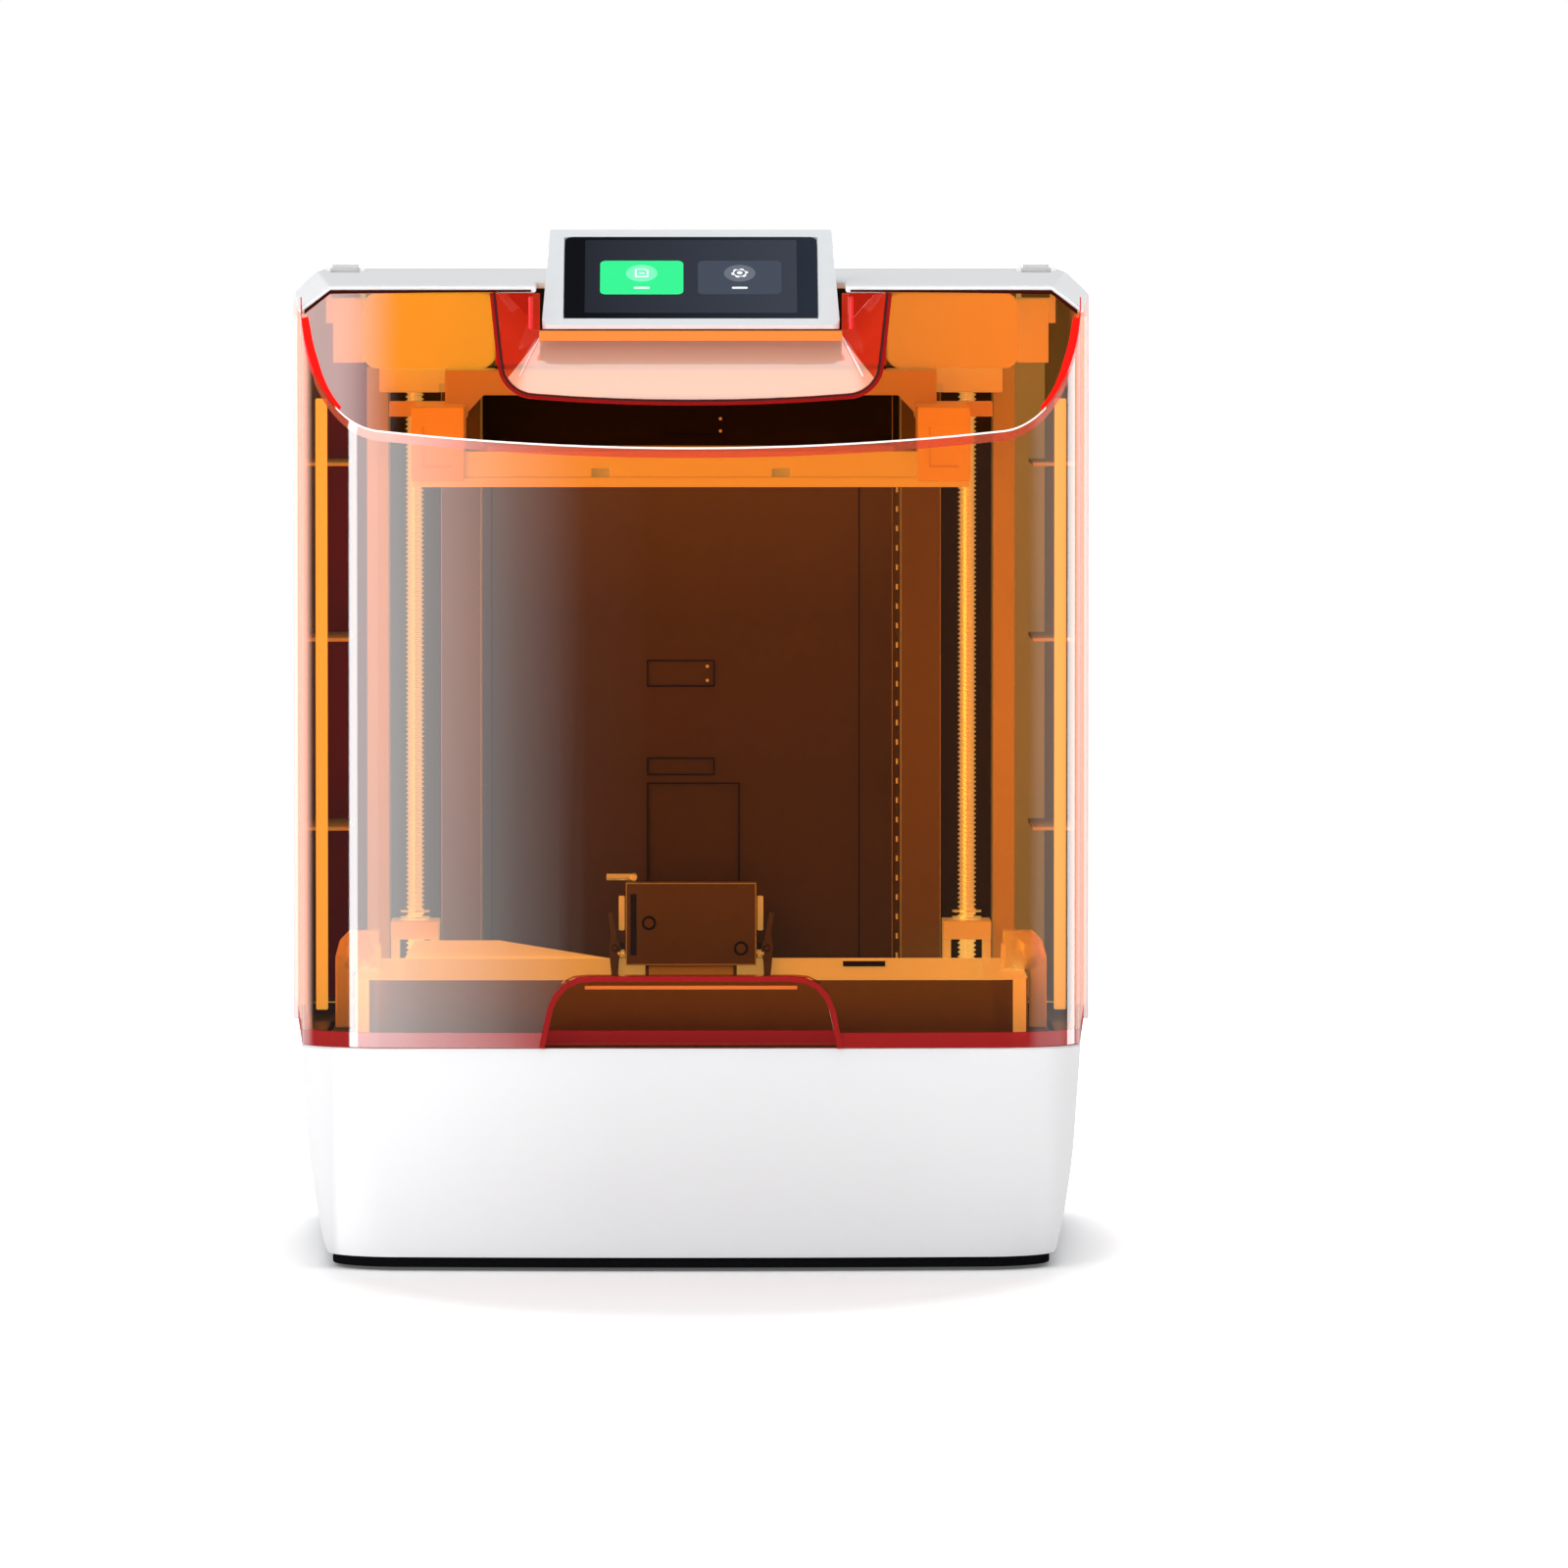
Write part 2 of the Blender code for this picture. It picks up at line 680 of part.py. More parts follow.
def make_carriage(side):
    """The lift's slider: a wall beside the screw cover, an arm in front and a collar round the nut."""
    wall = [(85.5, 380.4), (106.4, 380.4), (106.4, 359.6), (99.0, 359.6), (85.5, 374.2)]
    body = front_prism([(side * x, z) for x, z in wall], 176.3, 205.0)
    join(body, sided_box(side, 98.0, 131.5, 180.0, 203.0, 359.6, 366.0))
    join(body, sided_box(side, 98.0, 106.4, 204.0, 213.4, 371.0, 380.4))
    collar = sided_box(side, 110.6, 131.4, 205.8, 236.0, 371.0, 380.4)
    join(collar, sided_box(side, 105.0, 112.0, 206.0, 213.4, 371.0, 380.4))
    join(body, collar)
    return cut(body, post(side * SCREW_X, SCREW_D, 360.0, 400.0, 7.3, 24))


both("carriage", make_carriage, "alloy")


def make_nut(side):
    x = side * SCREW_X
    return cut(post(x, SCREW_D, 371.0, 380.4, 6.9, 24), post(x, SCREW_D, 360.0, 400.0, 4.35, 24))


both("lead_nut", make_nut, "brass")


def make_bridge():
    """The yoke that hangs the plate from both carriages."""
    beam = box(-106.0, 106.0, 140.0, 176.0, 369.6, 380.4)
    for side in (-1, 1):
        gusset = [(85.5, 380.4), (106.4, 380.4), (106.4, 359.6), (99.0, 359.6), (85.5, 374.2)]
        join(beam, front_prism([(side * x, z) for x, z in gusset], 140.0, 176.0))
        join(beam, sided_box(side, 97.0, 119.6, 61.0, 176.0, 359.6, 366.0))
        leg = sided_box(side, 97.0, 119.6, 61.0, 120.0, 347.4, 360.0)
        cut(leg, sided_box(side, 101.0, 115.6, 70.0, 130.0, 340.0, 362.0))
        join(beam, leg)
        lip = sided_box(side, 97.0, 119.6, 61.0, 64.6, 334.2, 348.0)
        join(beam, lip)
        cut(beam, sided_box(side, 102.0, 114.6, 60.0, 62.4, 340.5, 357.5))
        join(beam, sided_box(side, 40.0, 57.0, 146.0, 170.0, 368.0, 380.0))
    return beam


node("plate_bridge", make_bridge(), "alloy")


def make_plate():
    slab_low = box(-119.0, 119.0, PLATE_FRONT, PLATE_REAR, PLATE_LOW, PLATE_STEP)
    plate = join(slab_low, box(-117.0, 117.0, PLATE_FRONT + 0.8, PLATE_REAR - 2, PLATE_STEP - 1, PLATE_HIGH))
    for side in (-1, 1):
        cut(plate, sided_box(side, 34.7, 42.4, 60.0, 74.0, PLATE_STEP, 339.6))
    return cut(plate, box(-90.0, 90.0, 84.0, 160.0, 341.0, 350.0))


node("build_plate", make_plate(), "alloy")

PLATE_LATCH = (93.0, 70.0, 350.0)


def make_plate_latch(side):
    return join(
        sided_box(side, 91.0, 96.4, 66.0, 76.0, 347.4, 352.4),
        sided_box(side, 87.0, 91.5, 66.0, 76.0, 347.4, 349.4),
    )


both("plate_latch", make_plate_latch, "grey", PLATE_LATCH)


# ---------------------------------------------------------------- rear housing


def make_rear_shell():
    def housing(inset, front):
        outline = [(175.0 - inset, BASE_TOP + GAP - inset), (175.0 - inset, 411.0)]
        outline += [(173.6 - inset * 0.9, 413.5 - inset * 0.5), (163.6 - inset * 0.4, TOP - inset)]
        outline += [(-x, z) for x, z in reversed(outline)]
        body = front_prism(outline, front, DEPTH + 5)
        around = plan(174.0 - inset, 175.0 - inset, 100.0, DEPTH - inset, 20.0, 18.0 - inset, 1.0)
        return keep(body, slab(around, 80.0, 460.0))

    shell = cut(housing(0.0, 205.3), housing(WALL, 195.0))
    for side in (-1, 1):
        for z in (178.0, 261.0, 338.0):
            join(shell, sided_box(side, 150.0, 172.5, 216.0, 300.0, z - 0.7, z + 0.7))
        cut(shell, sided_box(side, 141.9, 160.2, 200.0, 218.0, TOP - 5, TOP + 5))
    return shell


node("rear_shell", make_rear_shell(), "white")


def make_back_panel():
    panel = box(-91.6, 91.6, 238.0, 241.0, BASE_TOP, 418.0)
    for x0, x1, z0, z1 in ((-19, 10, 240, 251), (-19, 10, 201, 208), (-19, 21, 150, 197)):
        cut(panel, box(x0, x1, 230.0, 238.8, z0, z1))
    cut(panel, box(-12, 16, 230.0, 238.8, 350, 360))
    for side in (-1, 1):
        cut(panel, sided_box(side, 84.6, 95.0, 230.0, 250.0, HEAD_LOW - 0.5, 430.0))
    return panel


node("back_panel", make_back_panel(), "dark")


def make_hinge_block(side):
    block = sided_box(side, 142.5, 156.0, 186.0, 222.0, 383.0, 411.0)
    for x0, x1 in ((142.5, 144.6), (157.4, 159.6)):
        low, high = span(side, x0, x1)
        ear = [(206, 400), (216, 400), (216, TOP - 0.6), (207.5, 425.6), (205, 425.8), (202.6, 424.4)]
        ear += [(202.5, 422.4), (204.4, 420.8), (206, 419.5)]
        join(block, side_prism(ear, low, high))
    join(block, sided_box(side, 155.0, 159.6, 206.0, 216.0, 400.0, 411.0))
    low, high = span(side, 143.0, 159.0)
    return join(block, rod_x(HINGE_D, HINGE_Z, low, high, 1.1, 16))


both("hinge_block", make_hinge_block, "grey")


# ---------------------------------------------------------------- lid


def slope_solid(inset, rear):
    """The hood's bulk without its cover: upright walls under a sloping front."""
    body = slab(hood_plan(inset, rear), HOOD_LOW - inset, 440.0)
    lift = inset * math.hypot(1.0, SLOPE)
    near, far = -60.0, 90.0
    front = [
        (near, CREASE_Z + SLOPE * near - lift),
        (far, CREASE_Z + SLOPE * far - lift),
        (far, 600.0),
        (near, 600.0),
    ]
    return cut(body, side_prism(front, -200.0, 200.0))


def scoop(grow):
    """The hollow under the screen: a U in the slope whose floor lies flatter than the slope."""
    rim = [(83, 418), (81, 395), (79, 383), (75, 376), (66, 372.8), (40, 371), (0, 370)]
    deep = [(66, 46, 397.5), (75, 18, 373.2)]
    points = []
    for side in (-1, 1):
        for x, z in rim:
            d = (z - CREASE_Z) / SLOPE
            for back in (-8.0, 1.0):
                points.append(at(side * (x + grow), d + back + (grow if back > 0 else 0), z - grow))
        for x, d, z in deep:
            points.append(at(side * (x + grow), d + grow, z - 0.4 * grow))
        points.append(at(side * (66 + grow), 46 + grow, 425.0))
    return hull(points)


def handle_notch(grow, near, far):
    """The finger recess at the middle of the hood's lower edge, made larger by grow, between two depths."""
    half = [(62.4, 90), (62.2, 95), (60, 104), (58, 114), (54, 119.8), (47.7, 123.4)]
    half = [(x + grow, z + grow) for x, z in half[2:]]
    half = [(62.4 + grow, 90.0), (62.2 + grow, 95.3), *half]
    outline = half + [(-x, z) for x, z in reversed(half)]
    return front_prism(outline, near, far)


def make_hood():
    hood = cut(slope_solid(0.0, HOOD_REAR), scoop(0.0))
    hollow = cut(slope_solid(WALL, HOOD_REAR + 6), scoop(WALL))
    cut(hood, hollow, under_cover(3.4))
    pocket = cut(handle_notch(2.0, 2.0, 20.0), box(-90.0, 90.0, 0.0, 30.0, 80.0, HOOD_LOW))
    join(hood, pocket)
    notch = box(-SCREEN_NOTCH_HALF, SCREEN_NOTCH_HALF, -10.0, 80.0, SCREEN_NOTCH_Z, 450.0)
    return cut(hood, notch, handle_notch(0.0, -6.0, 18.0))


LID = (0.0, HINGE_D, HINGE_Z)
node("hood", make_hood(), "orange", LID)


def make_cover():
    rings = []
    for d in (COVER_FRONT[0], COVER_BACK[0] - GAP):
        (flat, high), (edge, low) = cover_section(d, 0.0)
        (flat_in, high_in), (edge_in, low_in) = cover_section(d, 3.0)
        ahead = shoulder_lead(d)
        half = [(flat, d, high), (edge, d - ahead, low), (edge_in, d - ahead, low_in), (flat_in, d, high_in)]
        ring = [at(*p) for p in half[:2]] + [at(*half[2]), at(*half[3])]
        ring += [at(-x, dd, z) for x, dd, z in (half[3], half[2], half[1], half[0])]
        rings.append(ring)
    cover = loft(rings)
    cut(cover, box(-66.0, 66.0, 30.0, 86.6, 400.0, 440.0))
    for side in (-1, 1):
        cut(cover, sided_box(side, 144.8, 157.2, 185.0, 210.0, 400.0, 440.0))
        cut(cover, sided_box(side, 142.0, 160.2, 201.6, 210.0, 400.0, 440.0))
    return cover


node("top_cover", make_cover(), "white", LID)


def make_screen_housing():
    d0, z0 = SCREEN_FRONT
    d1, z1 = SCREEN_REAR
    profile = [(d0, z0), (d1, z1), (d1 + 4, z1 - 4.5), (112, 421.4), (86.8, 420.6), (84, 413), (60, 399.7)]
    profile += [(35, 399.6)]
    low, high = [], []
    for side, ring in ((-1, low), (1, high)):
        for d, z in profile:
            part = (d - d0) / (d1 - d0)
            half = SCREEN_HALF_FRONT + (SCREEN_HALF_REAR - SCREEN_HALF_FRONT) * part
            ring.append(at(side * half, d, z))
    return cut(loft([low, high]), screen_slab(GLASS_HALF + 0.3, GLASS_LONG + 0.6, -1.8, 3.0))


def screen_slab(half, long, low, high):
    """A flat box on the screen's face. low and high are heights above that face."""
    d0, z0 = SCREEN_FRONT
    d1, z1 = SCREEN_REAR
    size = math.hypot(d1 - d0, z1 - z0)
    along = ((d1 - d0) / size, (z1 - z0) / size)
    up = (-along[1], along[0])
    rings = []
    for height in (low, high):
        ring = []
        for x, run in ((-half, -long / 2), (half, -long / 2), (half, long / 2), (-half, long / 2)):
            d = (d0 + d1) / 2 + along[0] * run + up[0] * height
            z = (z0 + z1) / 2 + along[1] * run + up[1] * height
            ring.append(at(x, d, z))
        rings.append(ring)
    return loft(rings)


node("screen_housing", make_screen_housing(), "white", LID)
node("screen_glass", screen_slab(GLASS_HALF, GLASS_LONG, -1.5, 0.2), "glass", LID)


def make_hinge_arm(side):
    arm = sided_box(side, 145.2, 156.8, 178.0, 204.4, 413.2, 417.8)
    join(arm, sided_box(side, 145.2, 156.8, 186.0, 204.0, 417.0, 422.0))
    low, high = span(side, 145.2, 156.8)
    join(arm, rod_x(HINGE_D, HINGE_Z, low, high, KNUCKLE_R, 20))
    return cut(arm, rod_x(HINGE_D, HINGE_Z, low - 2, high + 2, 1.45, 16))


both("hinge_arm", make_hinge_arm, "grey", LID)
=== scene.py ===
"""Looks of the resin printer: the visual model, its materials, the floor, the lights and the camera."""

import json
import math

import bmesh
import bpy
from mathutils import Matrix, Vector


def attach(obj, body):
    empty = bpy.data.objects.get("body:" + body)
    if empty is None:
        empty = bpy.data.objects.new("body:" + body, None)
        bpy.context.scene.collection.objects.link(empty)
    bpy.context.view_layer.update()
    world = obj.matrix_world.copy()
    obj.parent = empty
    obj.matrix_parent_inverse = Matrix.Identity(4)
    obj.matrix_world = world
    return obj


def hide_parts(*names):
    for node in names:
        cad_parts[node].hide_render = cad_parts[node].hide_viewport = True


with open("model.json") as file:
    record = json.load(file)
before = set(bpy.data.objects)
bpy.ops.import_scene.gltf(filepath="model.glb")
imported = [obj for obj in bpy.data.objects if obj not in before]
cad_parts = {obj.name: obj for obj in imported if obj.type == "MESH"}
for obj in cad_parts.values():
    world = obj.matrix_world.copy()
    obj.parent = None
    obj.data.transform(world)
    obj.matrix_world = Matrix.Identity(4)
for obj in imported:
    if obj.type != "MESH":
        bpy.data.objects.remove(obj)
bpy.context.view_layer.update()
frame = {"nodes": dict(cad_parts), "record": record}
NODES = frame["nodes"]

MM = 0.001
MIDDLE = 165.0  # depth of the frame's origin behind the front face
DEPTH = 330.0
SIDES = ((-1, "left"), (1, "right"))


# ---------------------------------------------------------------- shader nodes


def add(tree, kind, inputs=None, **settings):
    """Adds a shader node. Its inputs, by name or number, are values or other nodes' outputs."""
    node = tree.nodes.new("ShaderNode" + kind)
    for key, value in settings.items():
        setattr(node, key, value)
    for key, value in (inputs or {}).items():
        if isinstance(value, bpy.types.NodeSocket):
            tree.links.new(value, node.inputs[key])
        else:
            node.inputs[key].default_value = value
    return node


def maths(tree, operation, first, second):
    """The result of a Math node."""
    return add(tree, "Math", {0: first, 1: second}, operation=operation).outputs[0]


def smooth(tree, value, low, high, top=1.0):
    """Eases from 0 to the top as the value goes from low to high."""
    inputs = {"Value": value, "From Min": low, "From Max": high, "To Max": top}
    return add(tree, "MapRange", inputs, interpolation_type="SMOOTHSTEP").outputs["Result"]


def place_along(tree, axis):
    """The shaded point's place along X, Y or Z."""
    coords = add(tree, "TexCoord")
    return add(tree, "SeparateXYZ", {0: coords.outputs["Object"]}).outputs[axis]


def ramp_of(tree, value, stops, interpolation="LINEAR"):
    """A colour ramp from (position, colour) stops. A single number stands for a grey."""
    ramp = add(tree, "ValToRGB", {"Fac": value})
    ramp.color_ramp.interpolation = interpolation
    marks = ramp.color_ramp.elements
    while len(marks) < len(stops):
        marks.new(0.5)
    for mark, (position, colour) in zip(marks, stops):
        mark.position = position
        mark.color = (colour, colour, colour, 1.0) if isinstance(colour, float) else (*colour, 1.0)
    return ramp.outputs["Color"]


BASE = ("Principled BSDF", "Base Color")
LIGHT = ("Principled BSDF", "Emission Color")
OWN = ("own_share", "Fac")


def along(material, axis, stops, target=BASE, mirrored=False):
    """Changes a material along an axis, from (place in mm, colour or share of the own colour) stops."""
    tree = material.node_tree
    first, last = stops[0][0], stops[-1][0]
    value = place_along(tree, axis)
    if mirrored:
        value = add(tree, "Math", {0: value}, operation="ABSOLUTE").outputs[0]
    scaled = add(tree, "MapRange", {"Value": value, "From Min": first * MM, "From Max": last * MM})
    stops = [((place - first) / (last - first), colour) for place, colour in stops]
    colour = ramp_of(tree, scaled.outputs["Result"], stops, "EASE" if target == OWN else "LINEAR")
    node, socket = target
    tree.links.new(colour, tree.nodes[node].inputs[socket])
    return material


# ---------------------------------------------------------------- materials


def principled(name, colour, rough, metal=0.0, spec=0.5, glow=0.0, glow_colour=None):
    """An opaque material. The display glows as a screen does; the glow given to some edges and to pieces that
    would be too dark is painted light.
    """
    made = bpy.data.materials.new(name)
    made.use_nodes = True
    inputs = made.node_tree.nodes["Principled BSDF"].inputs
    inputs["Base Color"].default_value = (*colour, 1.0)
    inputs["Roughness"].default_value = rough
    inputs["Metallic"].default_value = metal
    inputs["Specular IOR Level"].default_value = spec
    if glow:
        inputs["Emission Color"].default_value = (*(glow_colour or colour), 1.0)
        inputs["Emission Strength"].default_value = glow
    return made


def grained(material):
    """Adds a fine moulded texture to a material."""
    tree = material.node_tree
    coords = add(tree, "TexCoord")
    noise = add(tree, "TexNoise", {"Scale": 900.0, "Detail": 3.0, "Vector": coords.outputs["Object"]})
    bump = add(tree, "Bump", {"Strength": 0.25, "Distance": 0.00004, "Height": noise.outputs["Fac"]})
    tree.links.new(bump.outputs["Normal"], tree.nodes["Principled BSDF"].inputs["Normal"])
    return material


CALM_FRONT, CALM_BACK = 50.0, 85.0  # the hood's gloss fades between these depths


def tinted(name, facing, grazing, gloss_low, gloss_high, rough, own, share, sides=1.0):
    """A see-through moulding: a tint that deepens where the wall is seen edge on, and a share of own colour
    that also glows, which some hood materials use for painted sheen.

    The gloss grows from gloss_low to gloss_high as the wall turns edge on, and fades backwards to the part
    called sides. The inner faces have none.
    """
    made = bpy.data.materials.new(name)
    made.use_nodes = True
    tree = made.node_tree
    tree.nodes.remove(tree.nodes["Principled BSDF"])
    edge_on = add(tree, "LayerWeight", {"Blend": 0.35}).outputs["Facing"]
    between = [a * 0.8 + b * 0.2 for a, b in zip(facing, grazing)]
    tint = ramp_of(tree, edge_on, [(0.0, facing), (0.45, between), (0.95, grazing)])
    clear = add(tree, "BsdfTransparent", {"Color": tint})
    paint = add(tree, "BsdfDiffuse", {"Color": (*own, 1.0)})
    shine = add(tree, "Emission", {"Color": (*own, 1.0), "Strength": 0.35})
    solid = add(tree, "AddShader", {0: paint.outputs[0], 1: shine.outputs[0]})
    body = add(tree, "MixShader", {"Fac": share, 1: clear.outputs[0], 2: solid.outputs[0]}, name=OWN[0])
    gloss = add(tree, "BsdfGlossy", {"Color": (1.0, 1.0, 1.0, 1.0), "Roughness": rough})
    steep = maths(tree, "POWER", edge_on, 4.0)
    gloss_share = add(tree, "MapRange", {"Value": steep, "To Min": gloss_low, "To Max": gloss_high})
    outside = maths(tree, "SUBTRACT", 1.0, add(tree, "NewGeometry").outputs["Backfacing"])
    factor = maths(tree, "MULTIPLY", gloss_share.outputs["Result"], outside)
    inputs = {"From Min": (CALM_FRONT - MIDDLE) * MM, "From Max": (CALM_BACK - MIDDLE) * MM}
    inputs |= {"Value": place_along(tree, "Y"), "To Min": 1.0, "To Max": sides}
    calm = add(tree, "MapRange", inputs)
    eased = maths(tree, "MULTIPLY", factor, calm.outputs["Result"])
    mix = add(tree, "MixShader", {"Fac": eased, 1: body.outputs[0], 2: gloss.outputs[0]})
    tree.links.new(mix.outputs[0], tree.nodes["Material Output"].inputs["Surface"])
    return made


# The glow on the alloy, head, column, bracket, steel and pale grey materials is painted light for the hood's
# dim inside; the trim, flange and bright orange edge glow as painted light too.
WHITE = grained(principled("white_plastic", (0.80, 0.80, 0.81), 0.38, spec=0.0))
BEZEL = principled("bezel_plastic", (0.75, 0.77, 0.79), 0.40, spec=0.10)
BLACK = principled("black_plastic", (0.006, 0.006, 0.007), 0.6, spec=0.0)
RUBBER = principled("rubber", (0.02, 0.02, 0.02), 0.8)
DARK = principled("dark_plastic", (0.085, 0.075, 0.07), 0.45, spec=0.2)
# Painted shade in slots, notches and round recesses, nearly black; it also draws dark joints on the back
# panel.
RECESS_SHADE = principled("recess_shade_and_joints", (0.015, 0.012, 0.012), 0.6, spec=0.1)
LINE = principled("panel_line", (0.42, 0.36, 0.30), 0.5)
CASE = principled("feeder_case", (0.125, 0.105, 0.10), 0.45, spec=0.3)
PALE = principled("pale_moulding", (0.62, 0.60, 0.56), 0.4)
GREY = principled("grey_moulding", (0.92, 0.90, 0.86), 0.4, spec=0.3, glow=0.38)
HINGE = principled("hinge_arm", (0.70, 0.70, 0.70), 0.4)
VAT_OUT = principled("vat_outside", (0.15, 0.13, 0.13), 0.35, spec=0.3)
ALLOY = principled("satin_alloy", (0.80, 0.79, 0.77), 0.34, 0.15, glow=0.12)
CAST = principled("painted_head", (0.95, 0.95, 0.93), 0.36, spec=0.4, glow=0.14)
# The columns are a darker grey than the heads: painted shade for the less light that reaches them.
COLUMN = principled("painted_column", (0.62, 0.58, 0.56), 0.40, spec=0.3, glow=0.08)
CHANNEL_SHADE = principled("column_channel", (0.07, 0.055, 0.05), 0.5, spec=0.1)
SHADE = principled("side_shade", (0.50, 0.040, 0.015), 0.6, spec=0.0)
COLUMN_SHADE = principled("column_inner_shade", (0.19, 0.17, 0.16), 0.45, spec=0.1)
BRACKET = principled("lift_bracket", (0.80, 0.58, 0.50), 0.38, spec=0.4, glow=0.12)
STEEL = principled("ground_steel", (0.90, 0.90, 0.90), 0.25, 0.8, glow=0.28)
BRASS = principled("turned_brass", (0.80, 0.58, 0.22), 0.28, 1.0)
GLASS = principled("black_glass", (0.006, 0.007, 0.009), 0.10, spec=0.1)
BOARD = principled("circuit_board", (0.02, 0.16, 0.07), 0.45)
FILM = principled("release_film", (0.30, 0.31, 0.33), 0.15)
GLOWING_TRIM = principled("side_trim_glowing", (0.95, 0.95, 0.90), 0.4, glow=0.62, glow_colour=(1.0, 0.95, 0.5))
# Painted highlight for the pale line along the crease and for the scoop's glints.
CREASE_HIGHLIGHT = principled("painted_crease_highlight", (0.93, 0.86, 0.84), 0.25)
EDGE_RED = principled("orange_edge_deep", (0.75, 0.012, 0.012), 0.25, spec=0.4)
EDGE_BRIGHT = principled("orange_edge_bright", (0.95, 0.006, 0.003), 0.4, spec=0.05, glow=0.5)
EDGE_DARK = principled("orange_edge_dark", (0.05, 0.004, 0.003), 0.3, spec=0.3)
LIP = principled("orange_lip", (0.83, 0.22, 0.025), 0.25, spec=0.4)
COVER_SHADOW = principled("cover_shadow", (0.045, 0.006, 0.003), 0.4, spec=0.0)
GLOWING_FLANGE = principled("housing_flange_glowing", (0.82, 0.79, 0.78), 0.4, spec=0.0, glow=0.20)
# The left head is a lit copy of the head paint: its yellow-green glow is painted light that the right head
# lacks.
HEAD_LEFT_LIT = principled(
    "painted_head_lit", (0.95, 0.95, 0.90), 0.36, spec=0.4, glow=0.30, glow_colour=(0.8, 1.0, 0.30)
)

ORANGE = tinted(
    "orange_moulding", (0.985, 0.705, 0.33), (0.96, 0.50, 0.24), 0.09, 0.80, 0.015,
    (0.88, 0.44, 0.30), 0.0, 0.3
)
# Painted sheen on the hood's side walls: the glowing own colour takes over towards their outer corners.
ORANGE_SIDE_SHEEN = [(140.0, 0.0), (160.5, 0.0), (164.5, 0.30), (168.6, 0.62), (173.0, 0.62)]
along(ORANGE, "X", ORANGE_SIDE_SHEEN, OWN, mirrored=True)
SLOPE_ORANGE = tinted(
    "orange_slope", (0.985, 0.705, 0.33), (0.95, 0.45, 0.20), 0.04, 0.80, 0.015, (0.85, 0.62, 0.60), 0.0
)
# Painted sheen at the slope's left end, fading out towards the middle.
along(SLOPE_ORANGE, "X", [(-152.0, 0.42), (-122.0, 0.0)], OWN)
# Painted light in the scoop: a pale glowing veil over its floor, a little stronger low down.
SCOOP_FLOOR = tinted(
    "orange_scoop_floor", (0.985, 0.66, 0.33), (0.90, 0.30, 0.10), 0.06, 0.80, 0.03, (1.0, 0.55, 0.40), 0.4
)
along(SCOOP_FLOOR, "Z", [(374.0, 0.50), (397.0, 0.42)], OWN)
SCOOP_SIDE = tinted(
    "orange_scoop_side", (0.95, 0.35, 0.15), (0.85, 0.10, 0.05), 0.04, 0.8, 0.03, (0.50, 0.030, 0.010), 0.62
)
RIM = tinted(
    "orange_edge", (0.90, 0.16, 0.10), (0.85, 0.05, 0.04), 0.12, 0.8, 0.05, (0.33, 0.010, 0.010), 0.66, 0.3
)
CREASE_BAND = tinted(
    "orange_crease", (0.96, 0.45, 0.22), (0.90, 0.15, 0.08), 0.12, 0.8, 0.05, (0.62, 0.14, 0.06), 0.30
)
WEB = tinted("orange_web", (0.9, 0.2, 0.1), (0.8, 0.1, 0.05), 0.05, 0.6, 0.05, (0.46, 0.030, 0.010), 0.9)

# Painted light and shade on the base: a bright band at the left front where a softbox reflects, greys that
# darken towards the right, and darker corners.
BASE_WHITE_SHADED = grained(principled("base_white_shaded", (0.80, 0.80, 0.81), 0.38, spec=0.0))
BASE_SHADING = [(-176.0, 0.74), (-152.0, 0.75), (-149.5, 0.90), (-115.0, 0.89), (-30.0, 0.81), (110.0, 0.79)]
BASE_SHADING += [(150.0, 0.76), (160.0, 0.68), (176.0, 0.64)]
along(BASE_WHITE_SHADED, "X", [(place, (grey, grey, grey * 1.012)) for place, grey in BASE_SHADING])
# Painted light and shade on the back panel: lighter towards 325 mm, and a painted shadow, nearly black, above
# 346 mm.
PANEL_SHADING = along(
    principled("back_panel", (0.085, 0.075, 0.07), 0.5, spec=0.15),
    "Z",
    [
        (95.0, (0.10, 0.08, 0.075)),
        (200.0, (0.075, 0.06, 0.055)),
        (270.0, (0.095, 0.075, 0.06)),
        (325.0, (0.16, 0.13, 0.10)),
        (340.0, (0.12, 0.09, 0.07)),
        (346.0, (0.010, 0.007, 0.007)),
    ],
)


# ---------------------------------------------------------------- shapes


def at(x, d, z):
    """The scene point of a place given in millimetres from the middle, the front and the ground."""
    return Vector((x, d - MIDDLE, z)) * MM


def from_bmesh(bm, name="scratch"):
    """Makes an object of a bmesh, with its faces outwards."""
    bmesh.ops.recalc_face_normals(bm, faces=bm.faces[:])
    mesh = bpy.data.meshes.new(name)
    bm.to_mesh(mesh)
    bm.free()
    obj = bpy.data.objects.new(name, mesh)
    bpy.context.scene.collection.objects.link(obj)
    return obj


def loft(rings):
    """A closed solid through these rings of points."""
    bm = bmesh.new()
    made = [[bm.verts.new(p) for p in ring] for ring in rings]
    count = len(made[0])
    for low, high in zip(made, made[1:]):
        for i in range(count):
            j = (i + 1) % count
            bm.faces.new((low[i], low[j], high[j], high[i]))
    bm.faces.new(list(reversed(made[0])))
    bm.faces.new(made[-1])
    return from_bmesh(bm)


def box(x0, x1, d0, d1, z0, z1):
    low = [at(x0, d0, z0), at(x1, d0, z0), at(x1, d1, z0), at(x0, d1, z0)]
    high = [at(x0, d0, z1), at(x1, d0, z1), at(x1, d1, z1), at(x0, d1, z1)]
    return loft([low, high])


def slab(outline, z0, z1):
    """An outline of (x, d) points raised from z0 to z1."""
    return loft([[at(x, d, z0) for x, d in outline], [at(x, d, z1) for x, d in outline]])


